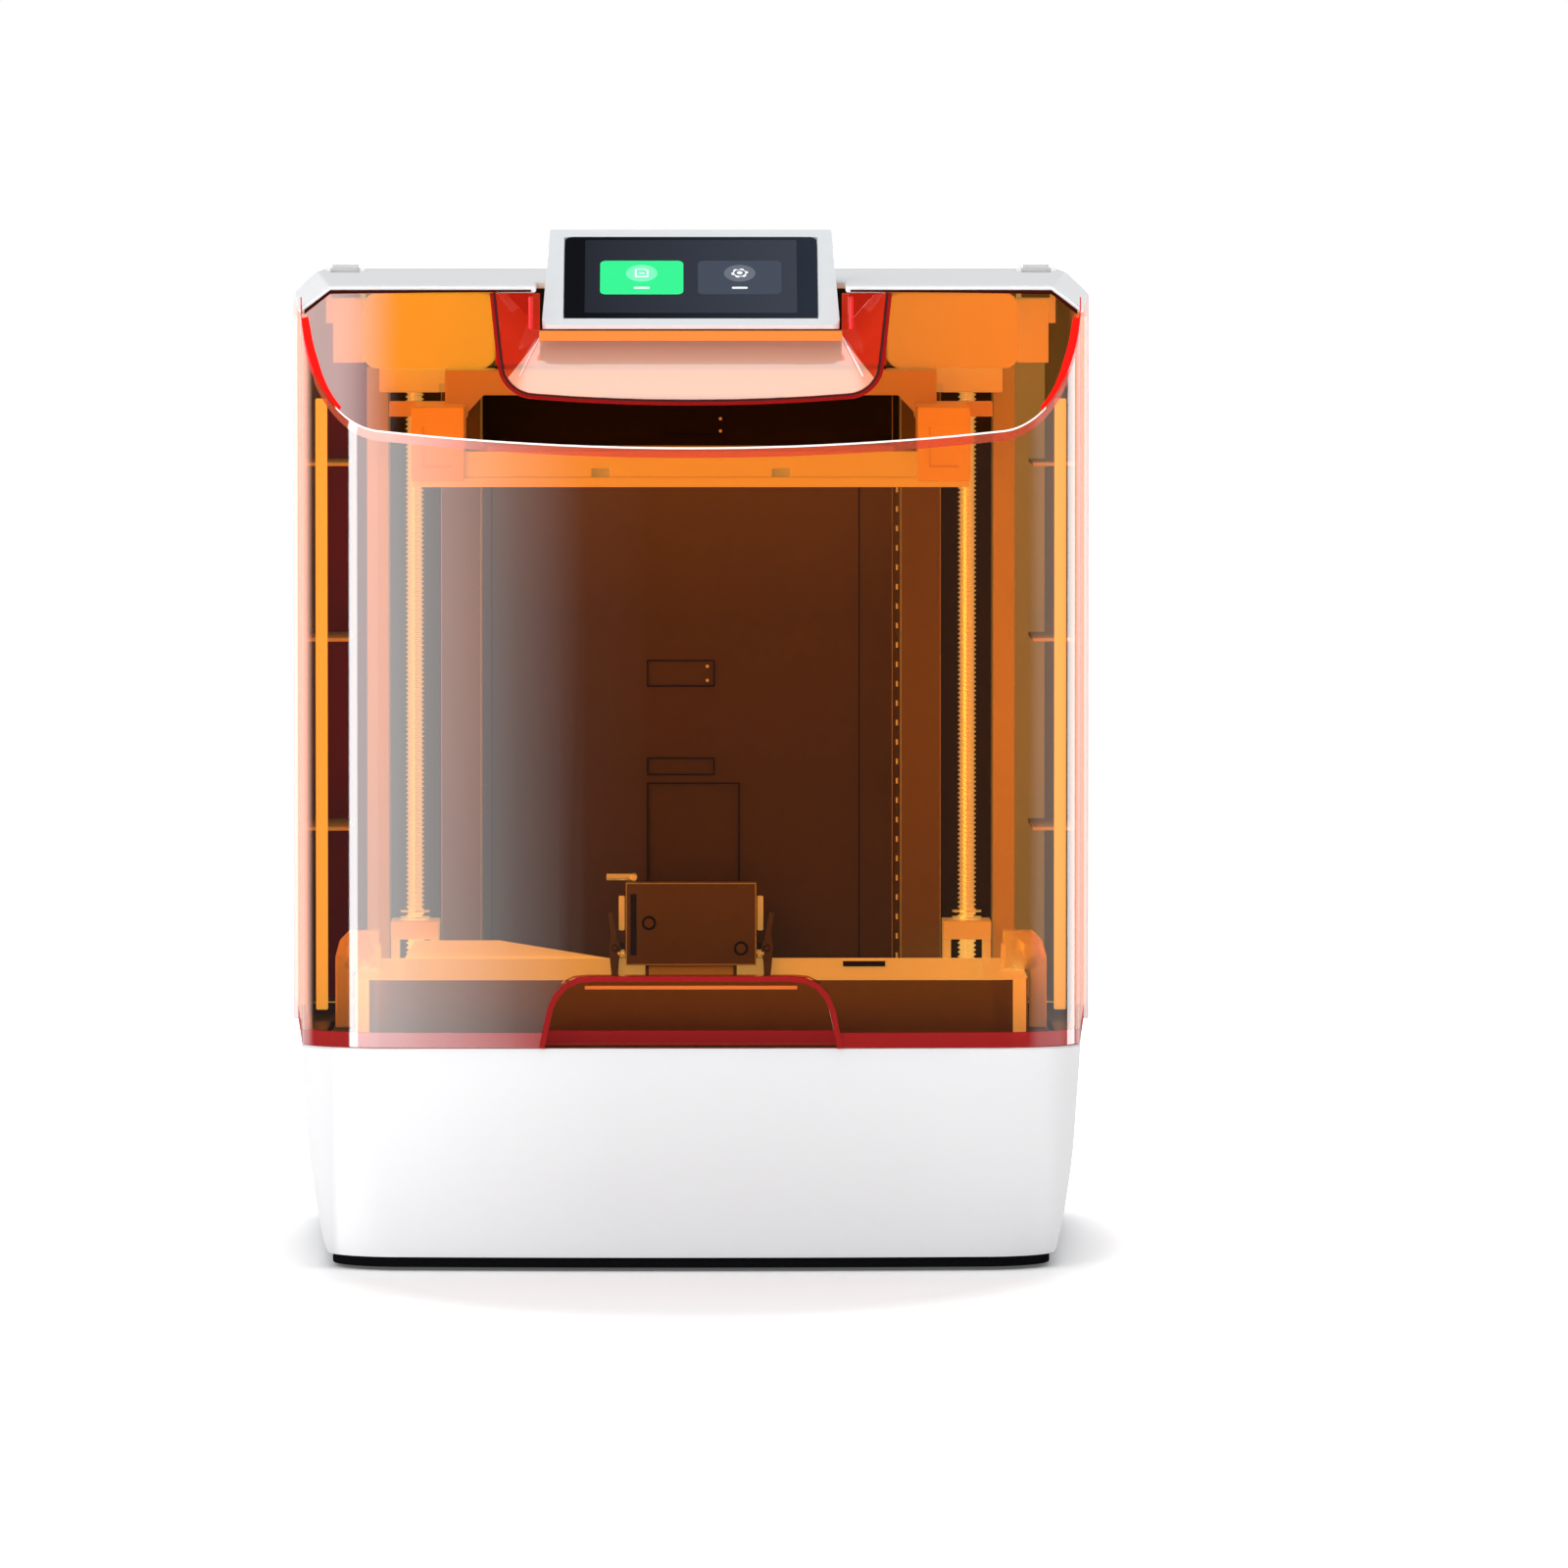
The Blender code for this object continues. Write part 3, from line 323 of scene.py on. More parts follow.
def front_prism(outline, d0, d1):
    """An outline of (x, z) points drawn from depth d0 to d1."""
    return loft([[at(x, d0, z) for x, z in outline], [at(x, d1, z) for x, z in outline]])


def side_prism(outline, x0, x1):
    """An outline of (d, z) points drawn from x0 to x1."""
    return loft([[at(x0, d, z) for d, z in outline], [at(x1, d, z) for d, z in outline]])


def disc(centre, radius, sides):
    turns = [2 * math.pi * i / sides for i in range(sides)]
    return [(centre[0] + radius * math.cos(t), centre[1] + radius * math.sin(t)) for t in turns]


def post(x, d, z0, z1, radius, sides):
    """An upright round bar."""
    return slab(disc((x, d), radius, sides), z0, z1)


def rod_d(x, z, d0, d1, radius, sides):
    """A round bar from front to back."""
    return front_prism(disc((x, z), radius, sides), d0, d1)


def hull(points):
    """The convex hull of these points."""
    bm = bmesh.new()
    made = [bm.verts.new(p) for p in points]
    found = bmesh.ops.convex_hull(bm, input=made)
    loose = [v for v in found["geom_interior"] if isinstance(v, bmesh.types.BMVert)]
    bmesh.ops.delete(bm, geom=loose, context="VERTS")
    return from_bmesh(bm)


def boolean(target, others, operation):
    for other in others:
        tool = target.modifiers.new("tool", "BOOLEAN")
        tool.operation = operation
        tool.solver = "EXACT"
        tool.object = other
        graph = bpy.context.evaluated_depsgraph_get()
        graph.update()
        made = bpy.data.meshes.new_from_object(target.evaluated_get(graph))
        target.modifiers.remove(tool)
        target.data = made
        bpy.data.objects.remove(other, do_unlink=True)
    return target


def cut(target, *others):
    return boolean(target, others, "DIFFERENCE")


def join(target, *others):
    return boolean(target, others, "UNION")


def merge(target, *others):
    """Puts the faces of other pieces in this one as they are."""
    bm = bmesh.new()
    for obj in (target, *others):
        bm.from_mesh(obj.data)
    bm.to_mesh(target.data)
    bm.free()
    for obj in others:
        bpy.data.objects.remove(obj, do_unlink=True)
    return target


def clean(obj):
    """Joins doubled points and faces that lie in one plane."""
    bm = bmesh.new()
    bm.from_mesh(obj.data)
    bmesh.ops.remove_doubles(bm, verts=bm.verts, dist=5e-6)
    bmesh.ops.dissolve_limit(bm, angle_limit=math.radians(0.5), verts=bm.verts, edges=bm.edges)
    bm.to_mesh(obj.data)
    bm.free()
    return obj


def finish_piece(obj, name, material, body, replaces=(), round_mm=0.0, steps=2, angle=30.0):
    """Names a piece, rounds its edges, smooths it and lets it ride on its body."""
    obj.name = name
    obj.data.name = name
    if not obj.data.materials:
        obj.data.materials.append(material)
    for face in obj.data.polygons:
        face.use_smooth = True
    if round_mm:
        bevel = obj.modifiers.new("round", "BEVEL")
        bevel.width = round_mm * MM
        bevel.segments = steps
        bevel.limit_method = "ANGLE"
        bevel.angle_limit = math.radians(angle)
        bevel.use_clamp_overlap = True
        weighted = obj.modifiers.new("shade", "WEIGHTED_NORMAL")
        weighted.keep_sharp = True
    else:
        obj.data.set_sharp_from_angle(angle=math.radians(angle))
    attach(obj, body)
    if replaces:
        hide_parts(*replaces)
    return obj


BODY_OF = {n: b for b, ns in frame["record"]["behaviour"]["bodies"].items() for n in ns}


def copy_of(node):
    """A copy of a CAD node's shape, with its triangles joined to flat faces again."""
    mesh = NODES[node].data.copy()
    mesh.materials.clear()
    obj = bpy.data.objects.new("scratch", mesh)
    bpy.context.scene.collection.objects.link(obj)
    return clean(obj)


def dress(node, material, round_mm):
    """Shows a CAD node as the same shape with rounded edges and this material."""
    return finish_piece(copy_of(node), "look_" + node, material, BODY_OF[node], (node,), round_mm)


def span(side, x0, x1):
    """The range x0 to x1 on the right side, or its mirror on the left, low end first."""
    return (x0, x1) if side > 0 else (-x1, -x0)


def sided_box(side, x0, x1, d0, d1, z0, z1):
    low, high = span(side, x0, x1)
    return box(low, high, d0, d1, z0, z1)


def plan(half_front, half_rear, front, rear, radius, rear_radius, bow, steps=20):
    """An outline seen from above: a bowed front, round corners and sides that widen backwards."""
    right = []
    corner_x = half_front - radius
    for i in range(12):
        x = corner_x * i / 12
        right.append((x, front + bow * (x / half_front) ** 2))
    base_d = front + bow * (corner_x / half_front) ** 2
    lean = 2 * bow * corner_x / half_front**2
    for i in range(steps + 1):
        turn = math.atan(lean) * (1 - i / steps) + math.radians(90) * i / steps
        x = corner_x + radius * (math.sin(turn) - math.sin(math.atan(lean)))
        right.append((x, base_d + radius * (math.cos(math.atan(lean)) - math.cos(turn))))
    for i in range(9):
        turn = math.radians(90 * i / 8)
        x = half_rear - rear_radius * (1 - math.cos(turn))
        right.append((x, rear - rear_radius * (1 - math.sin(turn))))
    left = [(-x, d) for x, d in reversed(right[1:])]
    return right + left


def rounded(x0, x1, y0, y1, radius):
    """The outline of a rectangle with round corners."""
    points = []
    steps = 6
    for cx, cy, first in (
        (x1 - radius, y0 + radius, -90),
        (x1 - radius, y1 - radius, 0),
        (x0 + radius, y1 - radius, 90),
        (x0 + radius, y0 + radius, 180),
    ):
        for i in range(steps + 1):
            turn = math.radians(first + 90 * i / steps)
            points.append((cx + radius * math.cos(turn), cy + radius * math.sin(turn)))
    return points


# ---------------------------------------------------------------- hood

HOOD_LOW, HOOD_REAR, HOOD_WALL = 95.3, 204.7, 3.0
RIM_TOP = 101.6  # the red lower edge of the hood ends here
SLOPE_LOW = 352.0  # faces of the slope and the scoop lie above this
SCOOP_HALF, SCOOP_DEPTH = 84.0, 60.0
CREASE_Z, SLOPE = 350.0, 1.55
COVER_FRONT = (43.0, 154.0, 418.0, 167.6, 407.5)
COVER_BACK = (205.0, 163.4, 423.0, 173.6, 413.0)


def hood_plan(inset, rear):
    """The hood's outline from above."""
    return plan(168.6 - inset, 172.1 - inset, inset, rear, 36.2 - inset, 2.0, 7.5, 28)


def cover_section(d, drop):
    """Half of the top cover's section at this depth, lowered by drop: its flat part's end and its edge."""
    part = (d - COVER_FRONT[0]) / (COVER_BACK[0] - COVER_FRONT[0])
    flat, high, edge, low = [a + (b - a) * part for a, b in zip(COVER_FRONT[1:], COVER_BACK[1:])]
    return [(flat - 0.35 * drop, high - drop), (edge - 0.85 * drop, low - 0.6 * drop)]


def shoulder_lead(d):
    """How far the cover's edge runs ahead of its flat part."""
    return 6.0 * (COVER_BACK[0] - d) / (COVER_BACK[0] - COVER_FRONT[0])


def under_cover(drop):
    """All the space above the underside of the top cover."""
    rings = []
    for d in (COVER_FRONT[0] - 0.3, COVER_BACK[0] + 5.0):
        (flat, high), (edge, low) = cover_section(d, drop)
        run = 20.0 / (edge - flat)
        lead = shoulder_lead(d) * (1 + run)
        corner = (edge + 20.0, d - lead, low - (high - low) * run)
        half = [(flat, d, high), corner, (edge + 20.0, d - lead, 470.0), (flat, d, 470.0)]
        half += [(-x, dd, z) for x, dd, z in reversed(half)]
        rings.append([at(*p) for p in half])
    return loft(rings)


def slope_solid(inset, rear):
    """The hood's outer block, cut by its sloping front."""
    body = slab(hood_plan(inset, rear), HOOD_LOW - inset, 440.0)
    lift = inset * math.hypot(1.0, SLOPE)
    near, far = -60.0, 90.0
    front = [
        (near, CREASE_Z + SLOPE * near - lift),
        (far, CREASE_Z + SLOPE * far - lift),
        (far, 600.0),
        (near, 600.0),
    ]
    return cut(body, side_prism(front, -200.0, 200.0))


def scoop(grow):
    """The hollow in the slope under the screen."""
    rim = [(83.5, 420), (79.5, 386)]
    for i in range(1, 7):
        turn = math.radians(90 * i / 6)
        rim.append((66.0 + 13.5 * math.cos(turn), 385.6 - 13.0 * math.sin(turn)))
    rim += [(x, 370.0 + 2.6 * (x / 66.0) ** 2) for x in (50, 34, 17, 0)]
    deep = [(63, 46, 397.5), (74, 20, 379), (67, 17, 374.4), (34, 16, 372.2), (0, 15.6, 371.6)]
    points = []
    for side in (-1, 1):
        for x, z in rim:
            d = (z - CREASE_Z) / SLOPE
            for back in (-8.0, 0.8):
                points.append(at(side * (x + grow), d + back + (grow if back > 0 else 0), z - grow))
        for x, d, z in deep:
            points.append(at(side * (x + grow), d + grow, z - 0.4 * grow))
        points.append(at(side * (63 + grow), 46 + grow, 425.0))
    return hull(points)


HANDLE = [(62.6, 90), (62.2, 95), (60.5, 103), (58.8, 111), (56.4, 116.5)]
HANDLE += [(52.6, 120.6), (47.7, 122.9), (42, 123.4)]


def handle_notch(grow, near, far, bottom):
    """The finger gap at the hood's lower edge."""
    half = [(x + grow, z + grow) for x, z in HANDLE[2:]]
    half = [(HANDLE[0][0] + grow, bottom), (HANDLE[1][0] + grow, 97.0), *half]
    outline = half + [(-x, z) for x, z in reversed(half)]
    return front_prism(outline, near, far)


HOOD_LOOKS = (ORANGE, RIM, SLOPE_ORANGE, SCOOP_FLOOR, SCOOP_SIDE)
hood = cut(slope_solid(0.0, HOOD_REAR), scoop(0.0))
cut(hood, cut(slope_solid(HOOD_WALL, HOOD_REAR + 6), scoop(HOOD_WALL)), under_cover(3.4))
join(hood, handle_notch(2.0, 2.0, 20.0, HOOD_LOW))
cut(hood, box(-67.0, 67.0, -10.0, 80.0, 399.0, 450.0), handle_notch(0.0, -6.0, 18.0, 90.0))
clean(hood)
bm = bmesh.new()
bm.from_mesh(hood.data)
everything = bm.verts[:] + bm.edges[:] + bm.faces[:]
bmesh.ops.bisect_plane(bm, geom=everything, plane_co=at(0, 0, RIM_TOP), plane_no=(0, 0, 1))
bm.normal_update()
for face in bm.faces:
    middle, normal = face.calc_center_median() / MM, face.normal
    depth = middle.y + MIDDLE
    below = CREASE_Z + SLOPE * depth - middle.z
    if middle.z < RIM_TOP:
        face.material_index = HOOD_LOOKS.index(RIM)
        continue
    in_scoop = depth < SCOOP_DEPTH and abs(middle.x) < SCOOP_HALF and below > 0.6 and normal.z > 0.05
    if middle.z > SLOPE_LOW and in_scoop:
        face.material_index = HOOD_LOOKS.index(SCOOP_SIDE if abs(normal.x) > 0.35 else SCOOP_FLOOR)
    elif middle.z > SLOPE_LOW and abs(below) < 0.6:
        face.material_index = HOOD_LOOKS.index(SLOPE_ORANGE)
bm.to_mesh(hood.data)
bm.free()
for material in HOOD_LOOKS:
    hood.data.materials.append(material)
finish_piece(hood, "hood_moulding", ORANGE, "lid", ("hood",), 1.1, 3, 24.0)


def ribbon(points, width, d0, d1):
    """A solid of this width along (x, z) points, from depth d0 to d1."""
    sides = ([], [])
    for i, (x, z) in enumerate(points):
        x0, z0 = points[max(i - 1, 0)]
        x1, z1 = points[min(i + 1, len(points) - 1)]
        size = math.hypot(x1 - x0, z1 - z0)
        nx, nz = -(z1 - z0) / size, (x1 - x0) / size
        sides[0].append((x, z))
        sides[1].append((x + nx * width, z + nz * width))
    return front_prism(sides[0] + sides[1][::-1], d0, d1)


def strip(points, out, down, thick, name, material):
    """A thin band along these points: out is each one's outward direction, down the way its width runs."""
    rings = []
    for p, n, w in zip(points, out, down):
        skin = p + n * (0.12 * MM)
        back = p - n * (thick * MM)
        rings.append([skin, skin + w, back + w, back])
    return finish_piece(loft(rings), name, material, "lid")


outline = [p for p in hood_plan(0.0, HOOD_REAR) if p[1] < 41.0]
right = sorted([p for p in outline if p[0] >= 0.0])
outline = [(-x, d) for x, d in reversed(right[1:])] + right
outward = []
for i, (x, d) in enumerate(outline):
    x0, d0 = outline[max(i - 1, 0)]
    x1, d1 = outline[min(i + 1, len(outline) - 1)]
    outward.append(Vector((d1 - d0, x0 - x1, 0.0)).normalized())
crease = [at(x, d, CREASE_Z + SLOPE * d) for x, d in outline]


def crease_strip(chosen, height, thick, name, material, below=0.0):
    """A strip down the front from the chosen points of the crease, or from this many mm below them."""
    strip(
        [crease[i] - Vector((0.0, 0.0, below * MM)) for i in chosen],
        [outward[i] for i in chosen],
        [Vector((0.0, 0.0, -height * MM))] * len(chosen),
        thick,
        name,
        material,
    )


# Painted highlight: a pale line along the crease.
inner = [i for i, p in enumerate(outline) if abs(p[0]) < 152.0]
crease_strip(inner, 0.8, 0.3, "hood_crease_highlight", CREASE_HIGHLIGHT)
wider = [i for i, p in enumerate(outline) if abs(p[0]) < 160.0]
crease_strip(wider, 3.6, 0.4, "hood_crease_band", CREASE_BAND, 0.9)
for side, word in SIDES:
    corner = [i for i, p in enumerate(outline) if side * p[0] > 159.0]
    crease_strip(corner, 3.0, 0.4, "hood_shoulder_edge_" + word, EDGE_RED)


slope_out = Vector((0.0, -SLOPE, 1.0)).normalized()
uphill = Vector((0.0, 1.0, SLOPE)).normalized()


def edge_width(d):
    """Width of the bright shoulder edge, which thins out towards the front and under the cover."""
    marks = ((0.0, 0.5), (6.0, 0.7), (14.0, 1.7), (22.0, 3.0), (32.0, 3.2), (40.0, 2.2), (60.0, 2.0))
    for (d0, w0), (d1, w1) in zip(marks, marks[1:]):
        if d <= d1:
            return w0 + (w1 - w0) * (max(d, d0) - d0) / (d1 - d0)
    return marks[-1][1]


# Painted light: a glowing bright red edge along each shoulder of the slope.
for side, word in SIDES:
    corner = [i for i, (x, d) in enumerate(outline) if side * x > 148.0 and d < 36.5]
    inward = [Vector((-outward[i].x, -outward[i].y, -SLOPE * outward[i].y)) for i in corner]
    strip(
        [crease[i] for i in corner],
        [slope_out] * len(corner),
        [way * (edge_width(outline[i][1]) * MM) for i, way in zip(corner, inward)],
        0.3,
        "hood_shoulder_glow_" + word,
        EDGE_BRIGHT,
    )
    under = [(x, 416.1) for x in (68.0, 90.0, 110.0, 130.0)]
    under += [(153.6, 416.0), (159.0, 411.9), (164.5, 407.7)]
    points = [at(side * x, (z - CREASE_Z) / SLOPE, z) for x, z in under]
    ways = [-uphill * (w * MM) for w in (0.8, 0.9, 1.1, 1.4, 1.8, 2.0, 2.2)]
    strip(points, [slope_out] * len(points), ways, 0.3, "cover_shadow_" + word, COVER_SHADOW)

arch = HANDLE[1:] + [(-x, z) for x, z in reversed(HANDLE[1:])]
finish_piece(ribbon(arch, -2.4, -0.2, 3.4), "hood_handle_rim", RIM, "lid")
# Painted highlight: a bright orange bar along the ledge behind the finger gap.
handle_highlight = box(-45.2, 45.2, 17.2, 18.2, 119.2, 120.8)
finish_piece(handle_highlight, "hood_handle_highlight", LIP, "lid", (), 0.2)

half_rim = [(83.2, 415), (80.6, 392)]
for i in range(9):
    turn = math.radians(90 * i / 8)
    half_rim.append((66.0 + 13.7 * math.cos(turn), 385.6 - 13.2 * math.sin(turn)))
half_rim += [(x, 369.8 + 2.6 * (x / 66.0) ** 2) for x in (52, 40, 27, 13, 0)]
rim_line = [(-x, z) for x, z in half_rim] + list(reversed(half_rim[:-1]))
for name, material, shift, wide in (
    ("scoop_edge_dark", EDGE_DARK, 0.0, 1.1),
    ("scoop_edge_glow", RIM, 1.1, 1.4),
):
    points, ways = [], []
    for i, (x, z) in enumerate(rim_line):
        x0, z0 = rim_line[max(i - 1, 0)]
        x1, z1 = rim_line[min(i + 1, len(rim_line) - 1)]
        flat = Vector((z1 - z0, x0 - x1, 0.0)).normalized()
        way = -(Vector((1, 0, 0)) * flat.x + uphill * flat.y)
        place = at(x, (z - CREASE_Z) / SLOPE, z)
        points.append(place - way * (shift * MM))
        ways.append(-way * (wide * MM))
    strip(points, [slope_out] * len(points), ways, 0.4, name, material)

for (side, word), wide in zip(SIDES, (0.35, 0.8)):
    top, low = at(side * 63.4, 45.0, 397.6), at(side * 72.6, 20.8, 379.8)
    points = [top + (low - top) * (i / 8) for i in range(9)]
    glint = [Vector((side * wide * MM, 0.0, 0.0))] * 9
    strip(points, [slope_out] * 9, glint, 0.2, "scoop_glint_" + word, CREASE_HIGHLIGHT)

# ---------------------------------------------------------------- lip and side edges under the screen

lip = box(-64.5, 64.5, 33.8, 36.0, 394.6, 398.9)
finish_piece(lip, "hood_screen_lip", LIP, "lid", (), 0.4)
for side, word in SIDES:
    edge = sided_box(side, 67.2, 69.2, 34.0, 37.0, 399.4, 413.4)
    finish_piece(edge, "hood_screen_edge_" + word, EDGE_RED, "lid", (), 0.5)
    web = sided_box(side, 64.5, 83.6, 64.0, 65.2, 384.0, 414.6)
    finish_piece(web, "hood_web_" + word, WEB, "lid", (), 0.3)

# ---------------------------------------------------------------- top cover

rings = []
for d in (COVER_FRONT[0], COVER_BACK[0] - 0.3):
    (flat, high), (edge, low) = cover_section(d, 0.0)
    (flat_in, high_in), (edge_in, low_in) = cover_section(d, 3.0)
    ahead = shoulder_lead(d)
    half = [(flat, d, high), (edge, d - ahead, low), (edge_in, d - ahead, low_in), (flat_in, d, high_in)]
    half += [(-x, dd, z) for x, dd, z in reversed(half)]
    rings.append([at(*p) for p in half])
cover = loft(rings)
cut(cover, box(-66.0, 66.0, 30.0, 86.6, 400.0, 440.0))
for side in (-1, 1):
    cut(cover, sided_box(side, 144.8, 157.2, 185.0, 210.0, 400.0, 440.0))
    cut(cover, sided_box(side, 142.0, 160.2, 201.6, 210.0, 400.0, 440.0))
finish_piece(clean(cover), "top_cover_moulding", WHITE, "lid", ("top_cover",), 0.9, 3, 25.0)

# ---------------------------------------------------------------- lower body

BASE_RINGS = (
    (6.0, 156.0, 162.4, 2.4),
    (8.0, 156.8, 163.4, 1.8),
    (15.0, 158.5, 165.0, 1.2),
    (24.0, 160.2, 166.7, 0.8),
    (33.0, 161.6, 168.1, 0.5),
    (42.0, 162.9, 169.4, 0.25),
    (52.0, 164.0, 170.5, 0.1),
    (68.0, 165.1, 171.7, 0.0),
    (83.0, 165.9, 172.6, 0.0),
    (94.2, 166.4, 173.0, 0.0),
    (95.0, 165.8, 172.4, 0.6),
)
BASE_OUT = 1.6  # how much wider than the rings the outside is, on each side
OPEN_ENDS = {6.0: 4.0, 95.0: 97.0}  # the hollow's ends reach past the shell, so both are open
shell_rings, hollow_rings = [], []
for z, half_front, half_rear, front in BASE_RINGS:
    outside = plan(half_front + BASE_OUT, half_rear + BASE_OUT, front, DEPTH - front * 0.4, 32.0, 14.0, 7.5)
    inside = plan(half_front - 3, half_rear - 3, front + 3, DEPTH - 3, 32.0, 14.0, 7.5)
    shell_rings.append([at(x, d, z) for x, d in outside])
    hollow_rings.append([at(x, d, OPEN_ENDS.get(z, z)) for x, d in inside])
base = loft(shell_rings)
base_holes = [
    rod_d(-60.0, 48.0, DEPTH - 8, DEPTH + 2, 27.0, 48),
    box(66.0, 96.0, DEPTH - 8, DEPTH + 2, 26.0, 48.0),
    box(108.0, 124.0, DEPTH - 8, DEPTH + 2, 26.0, 48.0),
    box(0.0, 14.4, DEPTH - 8, DEPTH + 2, 30.0, 37.0),
]
cut(base, loft(hollow_rings), *base_holes)
finish_piece(base, "base_moulding", BASE_WHITE_SHADED, "machine", ("base_shell",), 0.0, 2, 38.0)

# ---------------------------------------------------------------- rear housing


def housing(inset, front):
    """The rear housing's outer block."""
    half = [(175.0 - inset, 95.3 - inset), (175.0 - inset, 410.0), (174.6 - inset, 411.8)]
    half += [(173.6 - inset * 0.9, 413.4 - inset * 0.5), (164.6 - inset * 0.4, 422.0 - inset)]
    half += [(162.6 - inset * 0.4, 423.0 - inset)]
    half += [(-x, z) for x, z in reversed(half)]
    body = front_prism(half, front, DEPTH + 5)
    around = plan(174.0 - inset, 175.0 - inset, 100.0, DEPTH - inset, 20.0, 18.0 - inset, 1.0)
    return boolean(body, [slab(around, 80.0, 460.0)], "INTERSECT")


rear = cut(housing(0.0, 205.3), housing(3.0, 195.0))
for side in (-1, 1):
    cut(rear, sided_box(side, 141.9, 160.2, 200.0, 218.0, 418.0, 430.0))
for row in range(9):
    z = 300.0 + 9.0 * row
    for side in (-1, 1):
        cut(rear, sided_box(side, 12.0, 92.0, 326.0, 333.0, z, z + 3.2))
finish_piece(clean(rear), "rear_moulding", WHITE, "machine", ("rear_shell",), 0.8, 2, 28.0)
for side, word in SIDES:
    for level, z in (("low", 178.0), ("mid", 261.0), ("high", 338.0)):
        rib = sided_box(side, 150.0, 171.8, 216.0, 300.0, z - 0.7, z + 0.7)
        finish_piece(rib, f"rear_rib_{level}_{word}", WHITE, "machine")

# ---------------------------------------------------------------- everything else, from the CAD shapes

for names, material, size in (
    ("base_tray", BLACK, 0.6),
    ("foot_front_left foot_front_right foot_rear_left foot_rear_right", RUBBER, 0.5),
    ("deck", DARK, 0.4),
    ("back_panel", PANEL_SHADING, 0.3),
    ("column_left column_right", COLUMN, 0.5),
    ("column_head_left", HEAD_LEFT_LIT, 1.2),
    ("column_head_right", CAST, 1.2),
    ("screw_cover_left screw_cover_right", CAST, 0.9),
    ("screw_bearing_left screw_bearing_right", CAST, 0.6),
    ("hinge_block_left hinge_block_right", CAST, 0.5),
    ("hinge_arm_left hinge_arm_right", HINGE, 0.5),
    ("carriage_left carriage_right", BRACKET, 0.5),
    ("plate_bridge", BRACKET, 0.6),
    ("build_plate", ALLOY, 0.4),
    ("tilt_bed", DARK, 0.5),
    ("lcd_panel", GLASS, 0.2),
    ("vat_film", FILM, 0.0),
    ("vat_clamp_left vat_clamp_right", ALLOY, 0.8),
    ("feed_head", CASE, 0.5),
    ("feed_cover feed_latch_left feed_latch_right", CASE, 0.3),
    ("feed_nozzle", STEEL, 0.2),
    # The plate latches are drawn nearly black: painted shade for the notches they sit in.
    ("plate_latch_left plate_latch_right", RECESS_SHADE, 0.4),
    ("power_rocker", BLACK, 0.5),
    ("power_inlet", BLACK, 0.4),
    ("usb_port", STEEL, 0.1),
    ("fan_frame", BLACK, 0.3),
    ("fan_rotor", DARK, 0.0),
):
    for name in names.split():
        dress(name, material, size)
for names, material in (
    ("lift_motor_left lift_motor_right", BLACK),
    ("light_engine tilt_motor", ALLOY),
    ("lens_panel", FILM),
    ("main_board", BOARD),
    ("power_supply tilt_cam", STEEL),
    ("lead_nut_left lead_nut_right", BRASS),
):
    for name in names.split():
        NODES[name].data.materials.clear()
        NODES[name].data.materials.append(material)

# ---------------------------------------------------------------- vat

VAT_FRONT, VAT_SIDE = 41.0, 143.5  # outer walls, dark up to these planes
# The vat's inside is drawn in the glowing pale grey: painted light.
vat = dress("vat", GREY, 0.7)
vat.data.materials.append(VAT_OUT)
for face in vat.data.polygons:
    if face.center.y < (VAT_FRONT - MIDDLE) * MM or abs(face.center.x) > VAT_SIDE * MM:
        face.material_index = 1
# Painted shade: the vat's level slot is a shallow dark piece.
slot = box(66.5, 85.0, 196.4, 198.2, 118.6, 120.9)
finish_piece(slot, "vat_level_slot", RECESS_SHADE, "bed", (), 0.3)
lip = box(66.0, 85.5, 196.2, 198.0, 120.9, 121.4)
finish_piece(lip, "vat_level_slot_edge", CAST, "bed", (), 0.1)

# ---------------------------------------------------------------- lead screws

SCREW_X, SCREW_D = 121.2, 222.0
SCREW_LOW, SCREW_HIGH = 90.7, 380.5
CORE, CREST, PITCH = 3.1, 4.0, 2.0


def threaded(x):
    """A screw whose thread is a real helix, with two collars above its lower bearing."""
    bm = bmesh.new()
    per_turn = 20
    profile = ((0.0, CORE), (0.3, CREST), (0.5, CREST), (0.8, CORE))
    rows = int((SCREW_HIGH - SCREW_LOW - 2.0) / PITCH * per_turn)
    rings = []
    for i in range(rows + 1):
        turn = 2 * math.pi * i / per_turn
        base = SCREW_LOW + 1.0 + PITCH * i / per_turn
        ring = []
        for share, radius in profile:
            z = min(base + share * PITCH, SCREW_HIGH)
            ring.append(bm.verts.new(at(x + radius * math.cos(turn), SCREW_D + radius * math.sin(turn), z)))
        rings.append(ring)
    for i, ring in enumerate(rings[:-1]):
        after = rings[i + 1]
        for j in range(3):
            bm.faces.new((ring[j], after[j], after[j + 1], ring[j + 1]))
        if i + per_turn < len(rings) - 1:
            above, above_next = rings[i + per_turn], rings[i + per_turn + 1]
            bm.faces.new((ring[3], after[3], above_next[0], above[0]))
    rod = post(x, SCREW_D, SCREW_LOW, SCREW_HIGH, CORE - 0.15, 20)
    collars = [post(x, SCREW_D, z, z + 0.8, 6.4, 28) for z in (138.5, 141.2)]
    return merge(from_bmesh(bm), rod, *collars)


for side, word in SIDES:
    screw = threaded(side * SCREW_X)
    finish_piece(screw, "lift_thread_" + word, STEEL, "screw_" + word, ("lead_screw_" + word,), 0.0, 2, 50.0)

# ---------------------------------------------------------------- back panel and column details

